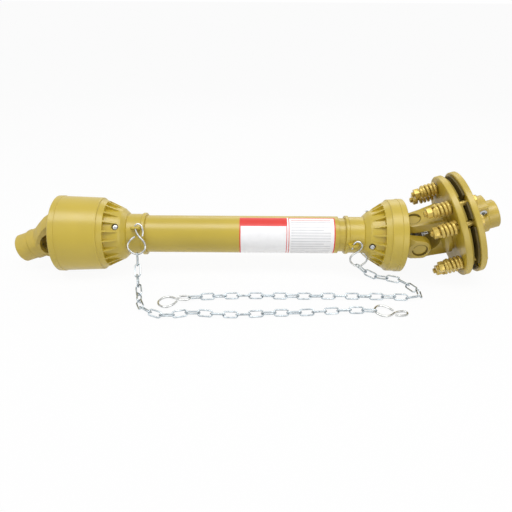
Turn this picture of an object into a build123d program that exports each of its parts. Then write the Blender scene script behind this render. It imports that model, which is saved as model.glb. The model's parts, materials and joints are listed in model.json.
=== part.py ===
from build123d import *
from math import acos, atan2, cos, degrees, hypot, pi, radians, sin, sqrt
import os

os.makedirs("parts", exist_ok=True)

# PTO drive shaft: two universal joints, telescoping three-lobed tubes, plastic guards held by
# chains, and a friction clutch with eight spring bolts on the implement end.
# Millimetres. X runs along the shaft towards the clutch, Z is up, the floor is Z = 0.
# The camera of the photograph stands on the -Y side.

# Clearances
running_clearance = 0.05
floor_clearance = 0.0

# Places along the shaft
left_cross_x = -340.0
right_cross_x = 285.6
left_bell_rim_x = -350.0
right_bell_rim_x = 257.5

# How the loose joints lie at rest
inner_pin_dip = 17.0
tractor_droop = 20.0

# Guard bells, the left one resting on the floor
left_bell_rim_radius = 67.3
left_bell_shoulder_radius = 64.0
left_bell_length = 80.0
right_bell_rim_radius = 65.0
right_bell_shoulder_radius = 63.6
right_bell_length = 27.5
bell_wall = 2.4
bell_lip_width = 10.0
bell_lip_height = 0.9
bell_corner = 1.8
axis_height = left_bell_rim_radius + floor_clearance

# Guard cones
guard_wall = 2.4
left_cone_length = 36.0
right_cone_length = 32.5
cone_collar_length = 12.0
cone_large_radius = 62.0
left_cone_small_radius = 45.0
right_cone_small_radius = 41.3
cone_shoulder_length = 8.5
shoulder_rise = 4.5
left_neck_radius = 35.4
right_neck_radius = 32.3
left_neck_length = 24.5
right_neck_length = 25.5
neck_ring_length = 6.5
neck_ring_height = 2.1
rib_count = 20
rib_width = 2.8
collar_drop = 0.6
cone_band_length = 9.0
pocket_depth = 7.5
pocket_end_gap = 3.0

# Hook lugs on the necks
left_lug_angle = 37.0
right_lug_angle = -4.0
left_lug_x = -208.0
right_lug_x = 169.0
lug_width = 17.0
lug_reach = 11.0
lug_thickness = 3.4
lug_hole_radius = 3.2
lug_hole_edge = 5.2

# Guard tubes
outer_guard_wall = 2.7
inner_guard_wall = 2.5
outer_guard_end_x = 144.7
guard_tube_end_gap = 15.0
guard_tube_seat = 16.0

# Guard bearings and their screws
bearing_width = 9.0
bearing_rim = 4.0
bearing_side_gap = 0.5
bearing_running_gap = 0.3
bearing_split = 8.0
left_groove_place = 99.0
right_groove_place = 84.5
bearing_lugs = 3
bearing_lug_width = 13.0
bearing_lug_drop = 4.2
screw_head_radius = 4.2
screw_head_height = 2.6
screw_shank_radius = 2.0
screw_length = 13.0
screw_recess_radius = 6.5
screw_seat_depth = 0.8

# Universal joint crosses and bearing cups
cup_radius = 13.5
cup_span = 74.6
cup_length = 14.0
cup_floor = 3.0
trunnion_radius = 8.8
cross_body_radius = 12.5
cross_shoulder = 21.8
circlip_thickness = 1.5
circlip_groove_depth = 0.9
circlip_gap_width = 7.0
nipple_radius = 3.2
nipple_length = 9.0

# Yokes
ear_radius = 19.5
ear_face = 40.0
ear_throat = 23.6
throat_depth = 37.0
ear_envelope_radius = 43.5

# Inner yokes on the three-lobed tubes
inner_hub_radius = 27.2
inner_hub_past_groove = 9.0
inner_groove_radius = 25.0
tube_socket_start = 54.0

# Tractor yoke and its push pin
tractor_hub_radius = 24.8
tractor_hub_end = 90.0
tractor_body_radius = 26.6
tractor_body_end = 66.0
tractor_throat_depth = 44.0
push_pin_radius = 5.0
push_pin_offset = 20.0
push_pin_place = 72.0
push_pin_boss_half = 15.0
push_pin_boss_wall = 3.5
push_pin_bore_depth = 11.0
push_pin_tail = 4.0
push_pin_notch_start = 1.0
push_pin_notch_end = 9.0
push_pin_notch_radius = 2.6
push_pin_button = 6.0
pin_spring_wire = 0.9
pin_spring_turns = 4

# Six spline bore, 1 3/8 inch
spline_root_radius = 17.45
spline_land_radius = 14.9
spline_tooth_width = 8.7
spline_count = 6

# Three-lobed drive tubes
outer_lobe_radius = 8.6
outer_lobe_centre = 13.6
outer_tube_wall = 3.4
inner_tube_wall = 4.2
outer_tube_end_x = 128.0
inner_tube_tip_gap = 20.0
tube_slide_gap = 0.3
roll_pin_radius = 4.0
roll_pin_place = 66.0
roll_pin_wall = 1.6
roll_pin_slit = 1.2

# Friction clutch
plate_radius = 90.6
plate_face = 58.0
yoke_plate_thickness = 10.5
disc_thickness = 3.4
flange_thickness = 6.8
pressure_plate_thickness = 10.0
plate_edge = 1.2
clutch_arm_half_width = 28.0
yoke_boss_radius = 45.0
yoke_boss_start = 45.0
yoke_boss_end = 51.0
yoke_neck_radius = 41.0
flange_radius = 62.0
disc_radius = 85.5
disc_bore_radius = 40.0
disc_notch_radius = 6.8
bolt_circle_radius = 71.0
bolt_pair_turn = 35.5
bolt_pair_half = 14.5
bolt_radius = 5.0
bolt_head_across = 17.0
bolt_head_height = 6.4
bolt_tip = 13.0
bolt_tip_past_nut = 4.5
bolt_hole_gap = 0.4
nut_height = 8.5
spring_outer_radius = 11.8
spring_wire = 5.4
spring_turns = 4.6
spring_gap_at_seat = 0.3
spring_steps_per_turn = 10
hub_outer_radius = 24.6
hub_end = 141.4
hub_pilot_radius = 21.0
hub_pilot_length = 9.0
hub_pilot_gap = 2.0
hub_collar_radius = 28.0
bushing_wall = 2.0
hub_block_half_width = 17.5
hub_block_reach = 38.5
hub_block_corner = 5.0
hub_block_end = 123.0
hub_block_gap = 0.6
clamp_bolt_radius = 5.8
clamp_bolt_offset = 22.6
clamp_bolt_place = 113.5
clamp_head_radius = 7.0
clamp_head_depth = 9.0
clamp_socket_depth = 5.0
clamp_nut_across = 17.0
clamp_nut_height = 8.0

# Chains and S-hooks
link_pitch = 20.0
link_play = 0.6
link_wire = 2.3
link_width = 12.5
link_roll = 45.0
link_wander = 9.0
link_lying_height = 5.65
hook_wire = 2.8
left_hook_lean = 20.0
end_hook_slope = 0.075
left_chain_twist = 45.0
twisted_links = 5

# The inner three-lobed tube slides in the outer one
inner_lobe_radius = outer_lobe_radius - outer_tube_wall - tube_slide_gap

# The clutch hangs from its joint until the edge of its first plate rests on the floor
low_edge = plate_face + plate_edge
clutch_pitch = degrees(
    acos(axis_height / hypot(plate_radius, low_edge)) - atan2(low_edge, plate_radius)
)

# Directions of the two joints, worked out from how they lie at rest
along = Vector(1, 0, 0)
inner_pin = Vector(0, -cos(radians(inner_pin_dip)), -sin(radians(inner_pin_dip)))
clutch_axis = Vector(cos(radians(clutch_pitch)), 0, sin(radians(clutch_pitch)))
tractor_axis = Vector(-cos(radians(tractor_droop)), 0, -sin(radians(tractor_droop)))
clutch_pin = inner_pin.cross(clutch_axis).normalized()
tractor_pin = inner_pin.cross(tractor_axis).normalized()
left_centre = Vector(left_cross_x, 0, axis_height)
right_centre = Vector(right_cross_x, 0, axis_height)
shaft_line = Axis((0, 0, axis_height), (1, 0, 0))

# Each yoke plane has Z away from the cross and X along the pin
left_inner_plane = Plane(origin=left_centre, x_dir=inner_pin, z_dir=along)
right_inner_plane = Plane(origin=right_centre, x_dir=inner_pin, z_dir=-along)
tractor_plane = Plane(origin=left_centre, x_dir=tractor_pin, z_dir=tractor_axis)
clutch_plane = Plane(origin=right_centre, x_dir=clutch_pin, z_dir=clutch_axis)
left_cross_plane = Plane(origin=left_centre, x_dir=inner_pin, z_dir=tractor_pin.cross(inner_pin))
right_cross_plane = Plane(origin=right_centre, x_dir=inner_pin, z_dir=clutch_pin.cross(inner_pin))


def radial_plane(angle):
    # X along the shaft and Y outwards, at an angle above the camera side's horizontal
    turn = radians(angle)
    return Plane(
        origin=(0, 0, axis_height),
        x_dir=(1, 0, 0),
        z_dir=(0, -sin(turn), -cos(turn)),
    )


def section_plane(x):
    # across the shaft at a place along it
    return Plane(origin=(x, 0, axis_height), x_dir=(0, 1, 0), z_dir=(1, 0, 0))


def pin_side(plane):
    # X along the pin and Y along the yoke's axis
    return Plane(origin=plane.origin, x_dir=plane.x_dir, z_dir=-plane.y_dir)


def ear_side(plane):
    # looks along the pin, with Y along the yoke's axis
    return Plane(origin=plane.origin, x_dir=plane.y_dir, z_dir=plane.x_dir)


def axis_of(plane):
    return Axis(plane.origin, plane.z_dir)


# Yokes
def ear_outline(plane, flank_end, flank_radius):
    # the ears and arms seen along the pin
    with BuildSketch(ear_side(plane)) as outline:
        Circle(ear_radius)
        with BuildLine():
            Polyline(
                (-ear_radius, 0),
                (-flank_radius, flank_end),
                (flank_radius, flank_end),
                (ear_radius, 0),
                close=True,
            )
        make_face()
    return outline.sketch


def throat_outline(plane, depth):
    # the slot between the ears, with a round bottom
    bottom = depth - ear_throat
    with BuildSketch(pin_side(plane)) as outline:
        with BuildLine():
            Line((-ear_throat, -2 * ear_radius), (ear_throat, -2 * ear_radius))
            Line((ear_throat, -2 * ear_radius), (ear_throat, bottom))
            ThreePointArc((ear_throat, bottom), (0, depth), (-ear_throat, bottom))
            Line((-ear_throat, bottom), (-ear_throat, -2 * ear_radius))
        make_face()
    return outline.sketch


def cup_bore(plane):
    # section of the bore through both ears, with its circlip grooves, for turning about the pin
    groove_end = cup_span / 2 + circlip_thickness + 2 * running_clearance
    groove_radius = cup_radius + circlip_groove_depth
    with BuildSketch(pin_side(plane)) as outline:
        with BuildLine():
            Polyline(
                (0, 0),
                (0, cup_radius),
                (cup_span / 2, cup_radius),
                (cup_span / 2, groove_radius),
                (groove_end, groove_radius),
                (groove_end, cup_radius),
                (ear_face + 1, cup_radius),
                (ear_face + 1, 0),
                close=True,
            )
        make_face()
        mirror(about=Plane.YZ)
    return outline.sketch


def pin_line(plane):
    return Axis(plane.origin, plane.x_dir)


def lobe_profile(lobe_radius):
    # three round lobes joined by flat sides
    with PolarLocations(outer_lobe_centre, 3):
        Circle(lobe_radius)
    make_hull()


def inner_yoke(plane, groove_middle, tube_radius):
    # forged yoke on a drive tube, with the groove that the guard bearing runs in
    groove_half = bearing_width / 2 + bearing_side_gap
    inner_hub_end = groove_middle + inner_hub_past_groove
    with BuildPart() as yoke:
        extrude(ear_outline(plane, throat_depth + 14, inner_hub_radius - 3), amount=ear_face, both=True)
        with BuildSketch(pin_side(plane)):
            with BuildLine():
                Polyline(
                    (0, -ear_radius),
                    (ear_envelope_radius - 7, -ear_radius),
                    (ear_envelope_radius, -ear_radius + 8),
                    (ear_envelope_radius, 12),
                    (inner_hub_radius + 4, throat_depth + 4),
                    (inner_hub_radius, throat_depth + 14),
                    (0, throat_depth + 14),
                    close=True,
                )
            make_face()
        revolve(axis=axis_of(plane), mode=Mode.INTERSECT)
        with BuildSketch(pin_side(plane)):
            with BuildLine():
                Polyline(
                    (0, throat_depth - 12),
                    (inner_hub_radius, throat_depth - 2),
                    (inner_hub_radius, groove_middle - groove_half),
                    (inner_groove_radius, groove_middle - groove_half),
                    (inner_groove_radius, groove_middle + groove_half),
                    (inner_hub_radius, groove_middle + groove_half),
                    (inner_hub_radius, inner_hub_end - 2),
                    (inner_hub_radius - 2, inner_hub_end),
                    (0, inner_hub_end),
                    close=True,
                )
            make_face()
        revolve(axis=axis_of(plane))
        extrude(
            throat_outline(plane, throat_depth),
            amount=2 * ear_envelope_radius,
            both=True,
            mode=Mode.SUBTRACT,
        )
        revolve(cup_bore(plane), axis=pin_line(plane), mode=Mode.SUBTRACT)
        with BuildSketch(plane.offset(tube_socket_start)):
            lobe_profile(tube_radius + running_clearance)
        extrude(amount=inner_hub_end, mode=Mode.SUBTRACT)
        with BuildSketch(Plane(origin=roll_pin_centre(plane), x_dir=plane.z_dir, z_dir=plane.y_dir)):
            Circle(roll_pin_radius)
        extrude(amount=inner_hub_radius + 2, both=True, mode=Mode.SUBTRACT)
    return yoke


def roll_pin_centre(plane):
    return plane.origin + plane.z_dir * roll_pin_place


left_inner_yoke = inner_yoke(left_inner_plane, left_groove_place, outer_lobe_radius)
right_inner_yoke = inner_yoke(right_inner_plane, right_groove_place, inner_lobe_radius)


# Tractor yoke: six spline hub with a push pin
push_pin_centre = tractor_plane.origin + tractor_plane.z_dir * push_pin_place
push_pin_line = Plane(
    origin=push_pin_centre - tractor_plane.y_dir * push_pin_offset,
    x_dir=tractor_plane.z_dir,
    z_dir=tractor_plane.x_dir,
)


def spline_bore():
    # six slots between the round lands of the bore
    Circle(spline_root_radius)
    with PolarLocations(spline_root_radius, spline_count):
        Rectangle(
            2 * (spline_root_radius - spline_land_radius) + 2,
            spline_tooth_width,
            mode=Mode.SUBTRACT,
        )
    Circle(spline_land_radius)


tractor_body_start = tractor_throat_depth + 6

with BuildPart() as tractor_yoke:
    extrude(
        ear_outline(tractor_plane, tractor_body_start, tractor_body_radius - 2),
        amount=ear_face,
        both=True,
    )
    with BuildSketch(pin_side(tractor_plane)):
        with BuildLine():
            Polyline(
                (0, -ear_radius),
                (ear_envelope_radius - 7, -ear_radius),
                (ear_envelope_radius, -ear_radius + 8),
                (ear_envelope_radius, 12),
                (ear_envelope_radius - 3, 24),
                (tractor_body_radius + 8, 36),
                (tractor_body_radius, tractor_body_start),
                (0, tractor_body_start),
                close=True,
            )
        make_face()
    revolve(axis=axis_of(tractor_plane), mode=Mode.INTERSECT)
    with BuildSketch(pin_side(tractor_plane)):
        with BuildLine():
            Polyline(
                (0, tractor_throat_depth - 12),
                (tractor_body_radius, tractor_throat_depth - 2),
                (tractor_body_radius, tractor_body_end - 2),
                (tractor_hub_radius, tractor_body_end),
                (tractor_hub_radius, tractor_hub_end - 2),
                (tractor_hub_radius - 2, tractor_hub_end),
                (0, tractor_hub_end),
                close=True,
            )
        make_face()
    revolve(axis=axis_of(tractor_plane))
    with BuildSketch(push_pin_line):
        Circle(push_pin_radius + push_pin_boss_wall)
    extrude(amount=push_pin_boss_half, both=True)
    extrude(
        throat_outline(tractor_plane, tractor_throat_depth),
        amount=2 * ear_envelope_radius,
        both=True,
        mode=Mode.SUBTRACT,
    )
    revolve(cup_bore(tractor_plane), axis=pin_line(tractor_plane), mode=Mode.SUBTRACT)
    with BuildSketch(tractor_plane.offset(tractor_throat_depth - 14)):
        spline_bore()
    extrude(amount=tractor_hub_end, mode=Mode.SUBTRACT)
    with BuildSketch(push_pin_line.offset(-push_pin_bore_depth)):
        Circle(push_pin_radius + running_clearance)
    extrude(amount=3 * push_pin_boss_half, mode=Mode.SUBTRACT)


with BuildPart() as yoke_push_pin:
    with BuildSketch(pin_side(push_pin_line)):
        with BuildLine():
            Polyline(
                (0, -push_pin_tail),
                (push_pin_radius, -push_pin_tail),
                (push_pin_radius, push_pin_notch_start),
                (push_pin_notch_radius, push_pin_notch_start),
                (push_pin_notch_radius, push_pin_notch_end),
                (push_pin_radius, push_pin_notch_end),
                (push_pin_radius, push_pin_boss_half + push_pin_button - 1),
                (push_pin_radius - 1, push_pin_boss_half + push_pin_button),
                (0, push_pin_boss_half + push_pin_button),
                close=True,
            )
        make_face()
    revolve(axis=axis_of(push_pin_line))


def coil(plane, radius, wire, height, turns, steps):
    # a coil of wire whose turns are short straight steps, with its two ends squared off
    count = round(turns * steps)
    rise = height - wire
    points = []
    for step in range(count + 1):
        turn = 2 * pi * step / steps
        share = step / count
        points.append(
            plane.origin
            + plane.x_dir * radius * cos(turn)
            + plane.y_dir * radius * sin(turn)
            + plane.z_dir * (wire / 2 + rise * share)
        )
    with BuildPart() as wound:
        with BuildLine() as path:
            Polyline(*points)
        with BuildSketch(Plane(origin=path.line @ 0, z_dir=path.line % 0, x_dir=plane.z_dir)):
            RegularPolygon(wire / 2, 6)
        sweep(transition=Transition.RIGHT)
    return wound


pin_spring_length = push_pin_bore_depth - push_pin_tail - spring_gap_at_seat
push_pin_spring = coil(
    push_pin_line.offset(-push_pin_bore_depth),
    push_pin_radius - pin_spring_wire,
    pin_spring_wire,
    pin_spring_length,
    pin_spring_turns,
    spring_steps_per_turn,
)


# Crosses, bearing cups, circlips and grease nipples
def joint_cross(plane):
    # four ground trunnions on a round body
    tip = cup_span / 2 - cup_floor - running_clearance
    with BuildPart() as cross:
        for pin in (plane.x_dir, plane.y_dir):
            with BuildSketch(Plane(origin=plane.origin, x_dir=pin, z_dir=plane.z_dir)):
                with BuildLine():
                    Polyline(
                        (-tip, 0),
                        (-tip, trunnion_radius - 1),
                        (-tip + 1, trunnion_radius),
                        (-cross_shoulder, trunnion_radius),
                        (-cross_shoulder, cross_body_radius),
                        (cross_shoulder, cross_body_radius),
                        (cross_shoulder, trunnion_radius),
                        (tip - 1, trunnion_radius),
                        (tip, trunnion_radius - 1),
                        (tip, 0),
                        close=True,
                    )
                make_face()
            revolve(axis=Axis(plane.origin, pin))
        with BuildSketch(plane):
            Circle(nipple_radius - 1)
        extrude(amount=cross_body_radius * 2, mode=Mode.SUBTRACT)
    return cross


def grease_nipple(plane):
    # screwed into the cross body, with a hexagon and a round nozzle
    seat = cross_body_radius
    with BuildPart() as nipple:
        with BuildSketch(plane.offset(seat / 2)):
            Circle(nipple_radius - 1)
        extrude(amount=seat)
        with BuildSketch(plane.offset(seat)):
            RegularPolygon(nipple_radius + 1, 6)
        extrude(amount=nipple_length * 0.4)
        with BuildSketch(plane.offset(seat)):
            Circle(nipple_radius - 0.6)
        extrude(amount=nipple_length)
        with Locations(plane.offset(seat + nipple_length).location):
            Sphere(nipple_radius - 0.6)
    return nipple


def bearing_cups(plane):
    # two pressed cups, each with its ring of needles as a solid sleeve
    start = cup_span / 2 - cup_length
    floor = cup_span / 2 - cup_floor
    end = cup_span / 2
    bore = trunnion_radius + running_clearance
    with BuildPart() as cups:
        with BuildSketch(pin_side(plane)):
            with BuildLine():
                Polyline(
                    (start, bore),
                    (start, cup_radius - 1),
                    (start + 1, cup_radius),
                    (end - 0.8, cup_radius),
                    (end, cup_radius - 0.8),
                    (end, 0),
                    (floor, 0),
                    (floor, bore),
                    close=True,
                )
            make_face()
        revolve(axis=pin_line(plane))
        mirror(about=Plane(origin=plane.origin, z_dir=plane.x_dir))
    return cups


def circlips(plane):
    # two spring rings in the ear grooves, open towards the yoke's hub
    with BuildPart() as clips:
        with BuildSketch(ear_side(plane).offset(cup_span / 2)):
            Circle(cup_radius + circlip_groove_depth - running_clearance)
            Circle(cup_radius - 2.2, mode=Mode.SUBTRACT)
            with Locations((0, cup_radius)):
                Rectangle(circlip_gap_width, cup_radius, mode=Mode.SUBTRACT)
        extrude(amount=circlip_thickness)
        mirror(about=Plane(origin=plane.origin, z_dir=plane.x_dir))
    return clips


left_cross = joint_cross(left_cross_plane)
right_cross = joint_cross(right_cross_plane)
left_grease_nipple = grease_nipple(left_cross_plane)
right_grease_nipple = grease_nipple(right_cross_plane)
left_cups_tube_side = bearing_cups(left_inner_plane)
left_cups_tractor_side = bearing_cups(tractor_plane)
right_cups_tube_side = bearing_cups(right_inner_plane)
right_cups_clutch_side = bearing_cups(clutch_plane)
left_circlips_tube_side = circlips(left_inner_plane)
left_circlips_tractor_side = circlips(tractor_plane)
right_circlips_tube_side = circlips(right_inner_plane)
right_circlips_clutch_side = circlips(clutch_plane)


# Three-lobed drive tubes, each pinned in its yoke
def drive_tube(plane, length, lobe_radius, wall):
    with BuildPart() as tube:
        with BuildSketch(plane.offset(tube_socket_start)):
            lobe_profile(lobe_radius)
        extrude(amount=length)
        with BuildSketch(plane.offset(tube_socket_start)):
            lobe_profile(lobe_radius - wall)
        extrude(amount=length, mode=Mode.SUBTRACT)
        with BuildSketch(Plane(origin=roll_pin_centre(plane), x_dir=plane.z_dir, z_dir=plane.y_dir)):
            Circle(roll_pin_radius)
        extrude(amount=2 * outer_lobe_centre + lobe_radius, both=True, mode=Mode.SUBTRACT)
    return tube


def roll_pin(plane):
    # slit spring pin through yoke and tube
    pin_plane = Plane(origin=roll_pin_centre(plane), x_dir=plane.z_dir, z_dir=plane.y_dir)
    with BuildPart() as pin:
        with BuildSketch(pin_plane):
            Circle(roll_pin_radius)
            Circle(roll_pin_radius - roll_pin_wall, mode=Mode.SUBTRACT)
            with Locations((roll_pin_radius, 0)):
                Rectangle(2 * roll_pin_radius, roll_pin_slit, mode=Mode.SUBTRACT)
        extrude(amount=inner_hub_radius - 1, both=True)
    return pin


outer_tube_length = outer_tube_end_x - left_cross_x - tube_socket_start
inner_tube_tip_x = left_cross_x + roll_pin_place + roll_pin_radius + inner_tube_tip_gap
inner_tube_length = right_cross_x - tube_socket_start - inner_tube_tip_x
outer_drive_tube = drive_tube(left_inner_plane, outer_tube_length, outer_lobe_radius, outer_tube_wall)
inner_drive_tube = drive_tube(right_inner_plane, inner_tube_length, inner_lobe_radius, inner_tube_wall)
left_roll_pin = roll_pin(left_inner_plane)
right_roll_pin = roll_pin(right_inner_plane)


# Guard cones, bells and bearings
def screw_angles(angle):
    return [angle + 360 * number / bearing_lugs for number in range(bearing_lugs)]


def screw_plane(x, angle, radius):
    # square to a screw, at a distance out from the shaft's axis
    outward = radial_plane(angle).y_dir
    origin = Vector(x, 0, axis_height) + outward * radius
    return Plane(origin=origin, x_dir=(1, 0, 0), z_dir=outward)


def screw_seat(x, rim_x, bell_length, length, small_radius):
    # radius of the pocket floor at the screws
    pocket_end = bell_length + length - pocket_end_gap
    slope = (cone_large_radius - small_radius) / length
    end_radius = small_radius + slope * pocket_end_gap
    band_end = bell_length + cone_band_length
    start_radius = cone_large_radius - slope * cone_band_length - pocket_depth
    share = (abs(x - rim_x) - band_end) / (pocket_end - band_end)
    return start_radius + (end_radius - start_radius) * share - screw_seat_depth


def guard_plane(x, side, angle=0.0):
    # X points from the bell's rim towards the neck, Y outwards
    outward = radial_plane(angle)
    return Plane(
        origin=(x, 0, axis_height),
        x_dir=(side, 0, 0),
        z_dir=outward.z_dir * side,
    )


def guard_cone(rim_x, side, bell_length, length, small_radius, neck_radius, neck_length,
               lug_x, lug_angle, bearing_x):
    # ribbed cone with its neck, end ring and hook lug
    inner = guard_wall
    large_end = bell_length
    small_end = large_end + length
    neck_start = small_end + cone_shoulder_length
    ring_start = neck_start + neck_length
    neck_end = ring_start + neck_ring_length
    band_end = large_end + cone_band_length
    pocket_end = small_end - pocket_end_gap
    slope = (cone_large_radius - small_radius) / length
    band_end_radius = cone_large_radius - slope * cone_band_length
    pocket_end_radius = small_radius + slope * pocket_end_gap
    floor_start_radius = band_end_radius - pocket_depth
    collar_radius = cone_large_radius - collar_drop
    profile = guard_plane(rim_x, side)
    with BuildPart() as cone:
        with BuildSketch(profile):
            with BuildLine():
                Polyline(
                    (large_end - cone_collar_length, collar_radius),
                    (large_end, collar_radius),
                    (band_end, band_end_radius),
                    (band_end, floor_start_radius),
                    (pocket_end, pocket_end_radius),
                    (small_end, small_radius),
                    (neck_start - 1, neck_radius + shoulder_rise / 2),
                    (neck_start, neck_radius),
                    (ring_start, neck_radius),
                    (ring_start, neck_radius + neck_ring_height - 1),
                    (ring_start + 1, neck_radius + neck_ring_height),
                    (neck_end - 1, neck_radius + neck_ring_height),
                    (neck_end, neck_radius + neck_ring_height - 1),
                    (neck_end, neck_radius - inner),
                    (neck_start - inner, neck_radius - inner),
                    (small_end - 1, small_radius - inner),
                    (pocket_end, pocket_end_radius - inner - 0.4),
                    (band_end - inner, floor_start_radius - inner),
                    (band_end - inner, band_end_radius - inner),
                    (large_end - 1, collar_radius - inner),
                    (large_end - cone_collar_length, collar_radius - inner),
                    close=True,
                )
            make_face()
        revolve(axis=shaft_line)
        for turn in range(rib_count):
            rib_plane = guard_plane(rim_x, side, 360 * (turn + 0.5) / rib_count + lug_angle)
            with BuildSketch(rib_plane):
                with BuildLine():
                    Polyline(
                        (band_end - 1, floor_start_radius - inner / 2),
                        (band_end - 1, band_end_radius),
                        (band_end, band_end_radius),
                        (pocket_end, pocket_end_radius),
                        (pocket_end, pocket_end_radius - inner / 2),
                        close=True,
                    )
                make_face()
            extrude(amount=rib_width / 2, both=True)
        lug_plane = guard_plane(lug_x, 1, lug_angle)
        lug_section = Plane(origin=lug_plane.origin, x_dir=(1, 0, 0), z_dir=lug_plane.z_dir)
        lug_tip = neck_radius + lug_reach
        with BuildSketch(lug_section):
            with Locations((0, (neck_radius - 1 + lug_tip) / 2)):
                Rectangle(lug_width, lug_tip - neck_radius + 1)
        extrude(amount=lug_thickness / 2, both=True)
        fillet(cone.edges().filter_by(Axis(lug_section.origin, lug_section.z_dir)).group_by(
            lambda edge: (edge.center() - lug_section.origin).dot(lug_section.y_dir))[-1], lug_width / 3)
        with BuildSketch(lug_section):
            with Locations((0, lug_tip - lug_hole_edge)):
                Circle(lug_hole_radius)
        extrude(amount=lug_thickness, both=True, mode=Mode.SUBTRACT)
        seat = screw_seat(bearing_x, rim_x, bell_length, length, small_radius)
        for angle in screw_angles(lug_angle):
            with BuildSketch(screw_plane(bearing_x, angle, seat)):
                Circle(screw_recess_radius)
            extrude(amount=cone_large_radius, mode=Mode.SUBTRACT)
            with BuildSketch(screw_plane(bearing_x, angle, seat / 2)):
                Circle(screw_shank_radius)
            extrude(amount=cone_large_radius, mode=Mode.SUBTRACT)
    return cone


left_bearing_x = left_cross_x + left_groove_place
right_bearing_x = right_cross_x - right_groove_place
left_guard_cone = guard_cone(
    left_bell_rim_x, 1, left_bell_length, left_cone_length, left_cone_small_radius,
    left_neck_radius, left_neck_length, left_lug_x, left_lug_angle, left_bearing_x,
)
right_guard_cone = guard_cone(
    right_bell_rim_x, -1, right_bell_length, right_cone_length, right_cone_small_radius,
    right_neck_radius, right_neck_length, right_lug_x, right_lug_angle, right_bearing_x,
)


def guard_bell(rim_x, side, length, rim_radius, shoulder_radius):
    # open bell with a thicker lip, snapped over the collar of the cone
    inner_shoulder = cone_large_radius - collar_drop
    with BuildPart() as bell:
        with BuildSketch(guard_plane(rim_x, side)):
            with BuildLine():
                Polyline(
                    (0, rim_radius - bell_wall),
                    (0, rim_radius - 1),
                    (1, rim_radius),
                    (bell_lip_width, rim_radius),
                    (bell_lip_width + 0.6, rim_radius - bell_lip_height),
                    (length - bell_corner, shoulder_radius),
                    (length - 0.3 * bell_corner, shoulder_radius - 0.3 * bell_corner),
                    (length, shoulder_radius - bell_corner),
                    (length, inner_shoulder),
                    (length - cone_collar_length, inner_shoulder),
                    (bell_lip_width, rim_radius - bell_lip_height - bell_wall),
                    close=True,
                )
            make_face()
        revolve(axis=shaft_line)
    return bell


left_guard_bell = guard_bell(
    left_bell_rim_x, 1, left_bell_length, left_bell_rim_radius, left_bell_shoulder_radius
)
right_guard_bell = guard_bell(
    right_bell_rim_x, -1, right_bell_length, right_bell_rim_radius, right_bell_shoulder_radius
)


def guard_bearing(x, angle, seat):
    # split nylon ring that runs in the yoke's groove, with lugs screwed to the cone
    ring_inner = inner_groove_radius + bearing_running_gap
    lug_outer = seat - guard_wall - bearing_lug_drop
    with BuildPart() as bearing:
        with BuildSketch(section_plane(x - bearing_width / 2)):
            Circle(ring_inner + bearing_rim)
            with PolarLocations((ring_inner + lug_outer) / 2, bearing_lugs, start_angle=180 - angle):
                Rectangle(lug_outer - ring_inner, bearing_lug_width)
            Circle(ring_inner, mode=Mode.SUBTRACT)
            with PolarLocations(ring_inner, 1, start_angle=240 - angle):
                Rectangle(4 * bearing_rim, bearing_split, mode=Mode.SUBTRACT)
        extrude(amount=bearing_width)
        for turn in screw_angles(angle):
            with BuildSketch(screw_plane(x, turn, ring_inner + bearing_rim)):
                Circle(screw_shank_radius)
            extrude(amount=lug_outer, mode=Mode.SUBTRACT)
    return bearing


def guard_screws(x, angle, seat):
    # three self-tapping screws, round heads with a cross recess
    with BuildPart() as screws:
        for turn in screw_angles(angle):
            with BuildSketch(screw_plane(x, turn, seat - screw_length)):
                Circle(screw_shank_radius)
            extrude(amount=screw_length)
            with BuildSketch(screw_plane(x, turn, seat)):
                Circle(screw_head_radius)
            extrude(amount=screw_head_height, taper=14)
            with BuildSketch(screw_plane(x, turn, seat + screw_head_height - 1)):
                Rectangle(screw_head_radius, 1)
                Rectangle(1, screw_head_radius)
            extrude(amount=2, mode=Mode.SUBTRACT)
    return screws


left_screw_seat = screw_seat(
    left_bearing_x, left_bell_rim_x, left_bell_length, left_cone_length, left_cone_small_radius
)
right_screw_seat = screw_seat(
    right_bearing_x, right_bell_rim_x, right_bell_length, right_cone_length, right_cone_small_radius
)
left_guard_bearing = guard_bearing(left_bearing_x, left_lug_angle, left_screw_seat)
right_guard_bearing = guard_bearing(right_bearing_x, right_lug_angle, right_screw_seat)
left_guard_screws = guard_screws(left_bearing_x, left_lug_angle, left_screw_seat)
right_guard_screws = guard_screws(right_bearing_x, right_lug_angle, right_screw_seat)


# Guard tubes, seated in the necks
def neck_end_x(rim_x, side, bell_length, length, neck_length):
    reach = bell_length + length + cone_shoulder_length + neck_length + neck_ring_length
    return rim_x + side * reach


left_neck_end_x = neck_end_x(
    left_bell_rim_x, 1, left_bell_length, left_cone_length, left_neck_length
)
right_neck_end_x = neck_end_x(
    right_bell_rim_x, -1, right_bell_length, right_cone_length, right_neck_length
)
left_hub_end_x = left_bearing_x + inner_hub_past_groove
outer_guard_start_x = left_neck_end_x - left_neck_length - neck_ring_length + 2
inner_guard_start_x = left_hub_end_x + guard_tube_end_gap
inner_guard_end_x = right_neck_end_x + guard_tube_seat

with BuildPart() as outer_guard_tube:
    with BuildSketch(section_plane(outer_guard_start_x)):
        Circle(left_neck_radius - guard_wall)
        Circle(left_neck_radius - guard_wall - outer_guard_wall, mode=Mode.SUBTRACT)
    extrude(amount=outer_guard_end_x - outer_guard_start_x)

with BuildPart() as inner_guard_tube:
    with BuildSketch(section_plane(inner_guard_start_x)):
        Circle(right_neck_radius - guard_wall)
        Circle(right_neck_radius - guard_wall - inner_guard_wall, mode=Mode.SUBTRACT)
    extrude(amount=inner_guard_end_x - inner_guard_start_x)


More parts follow.
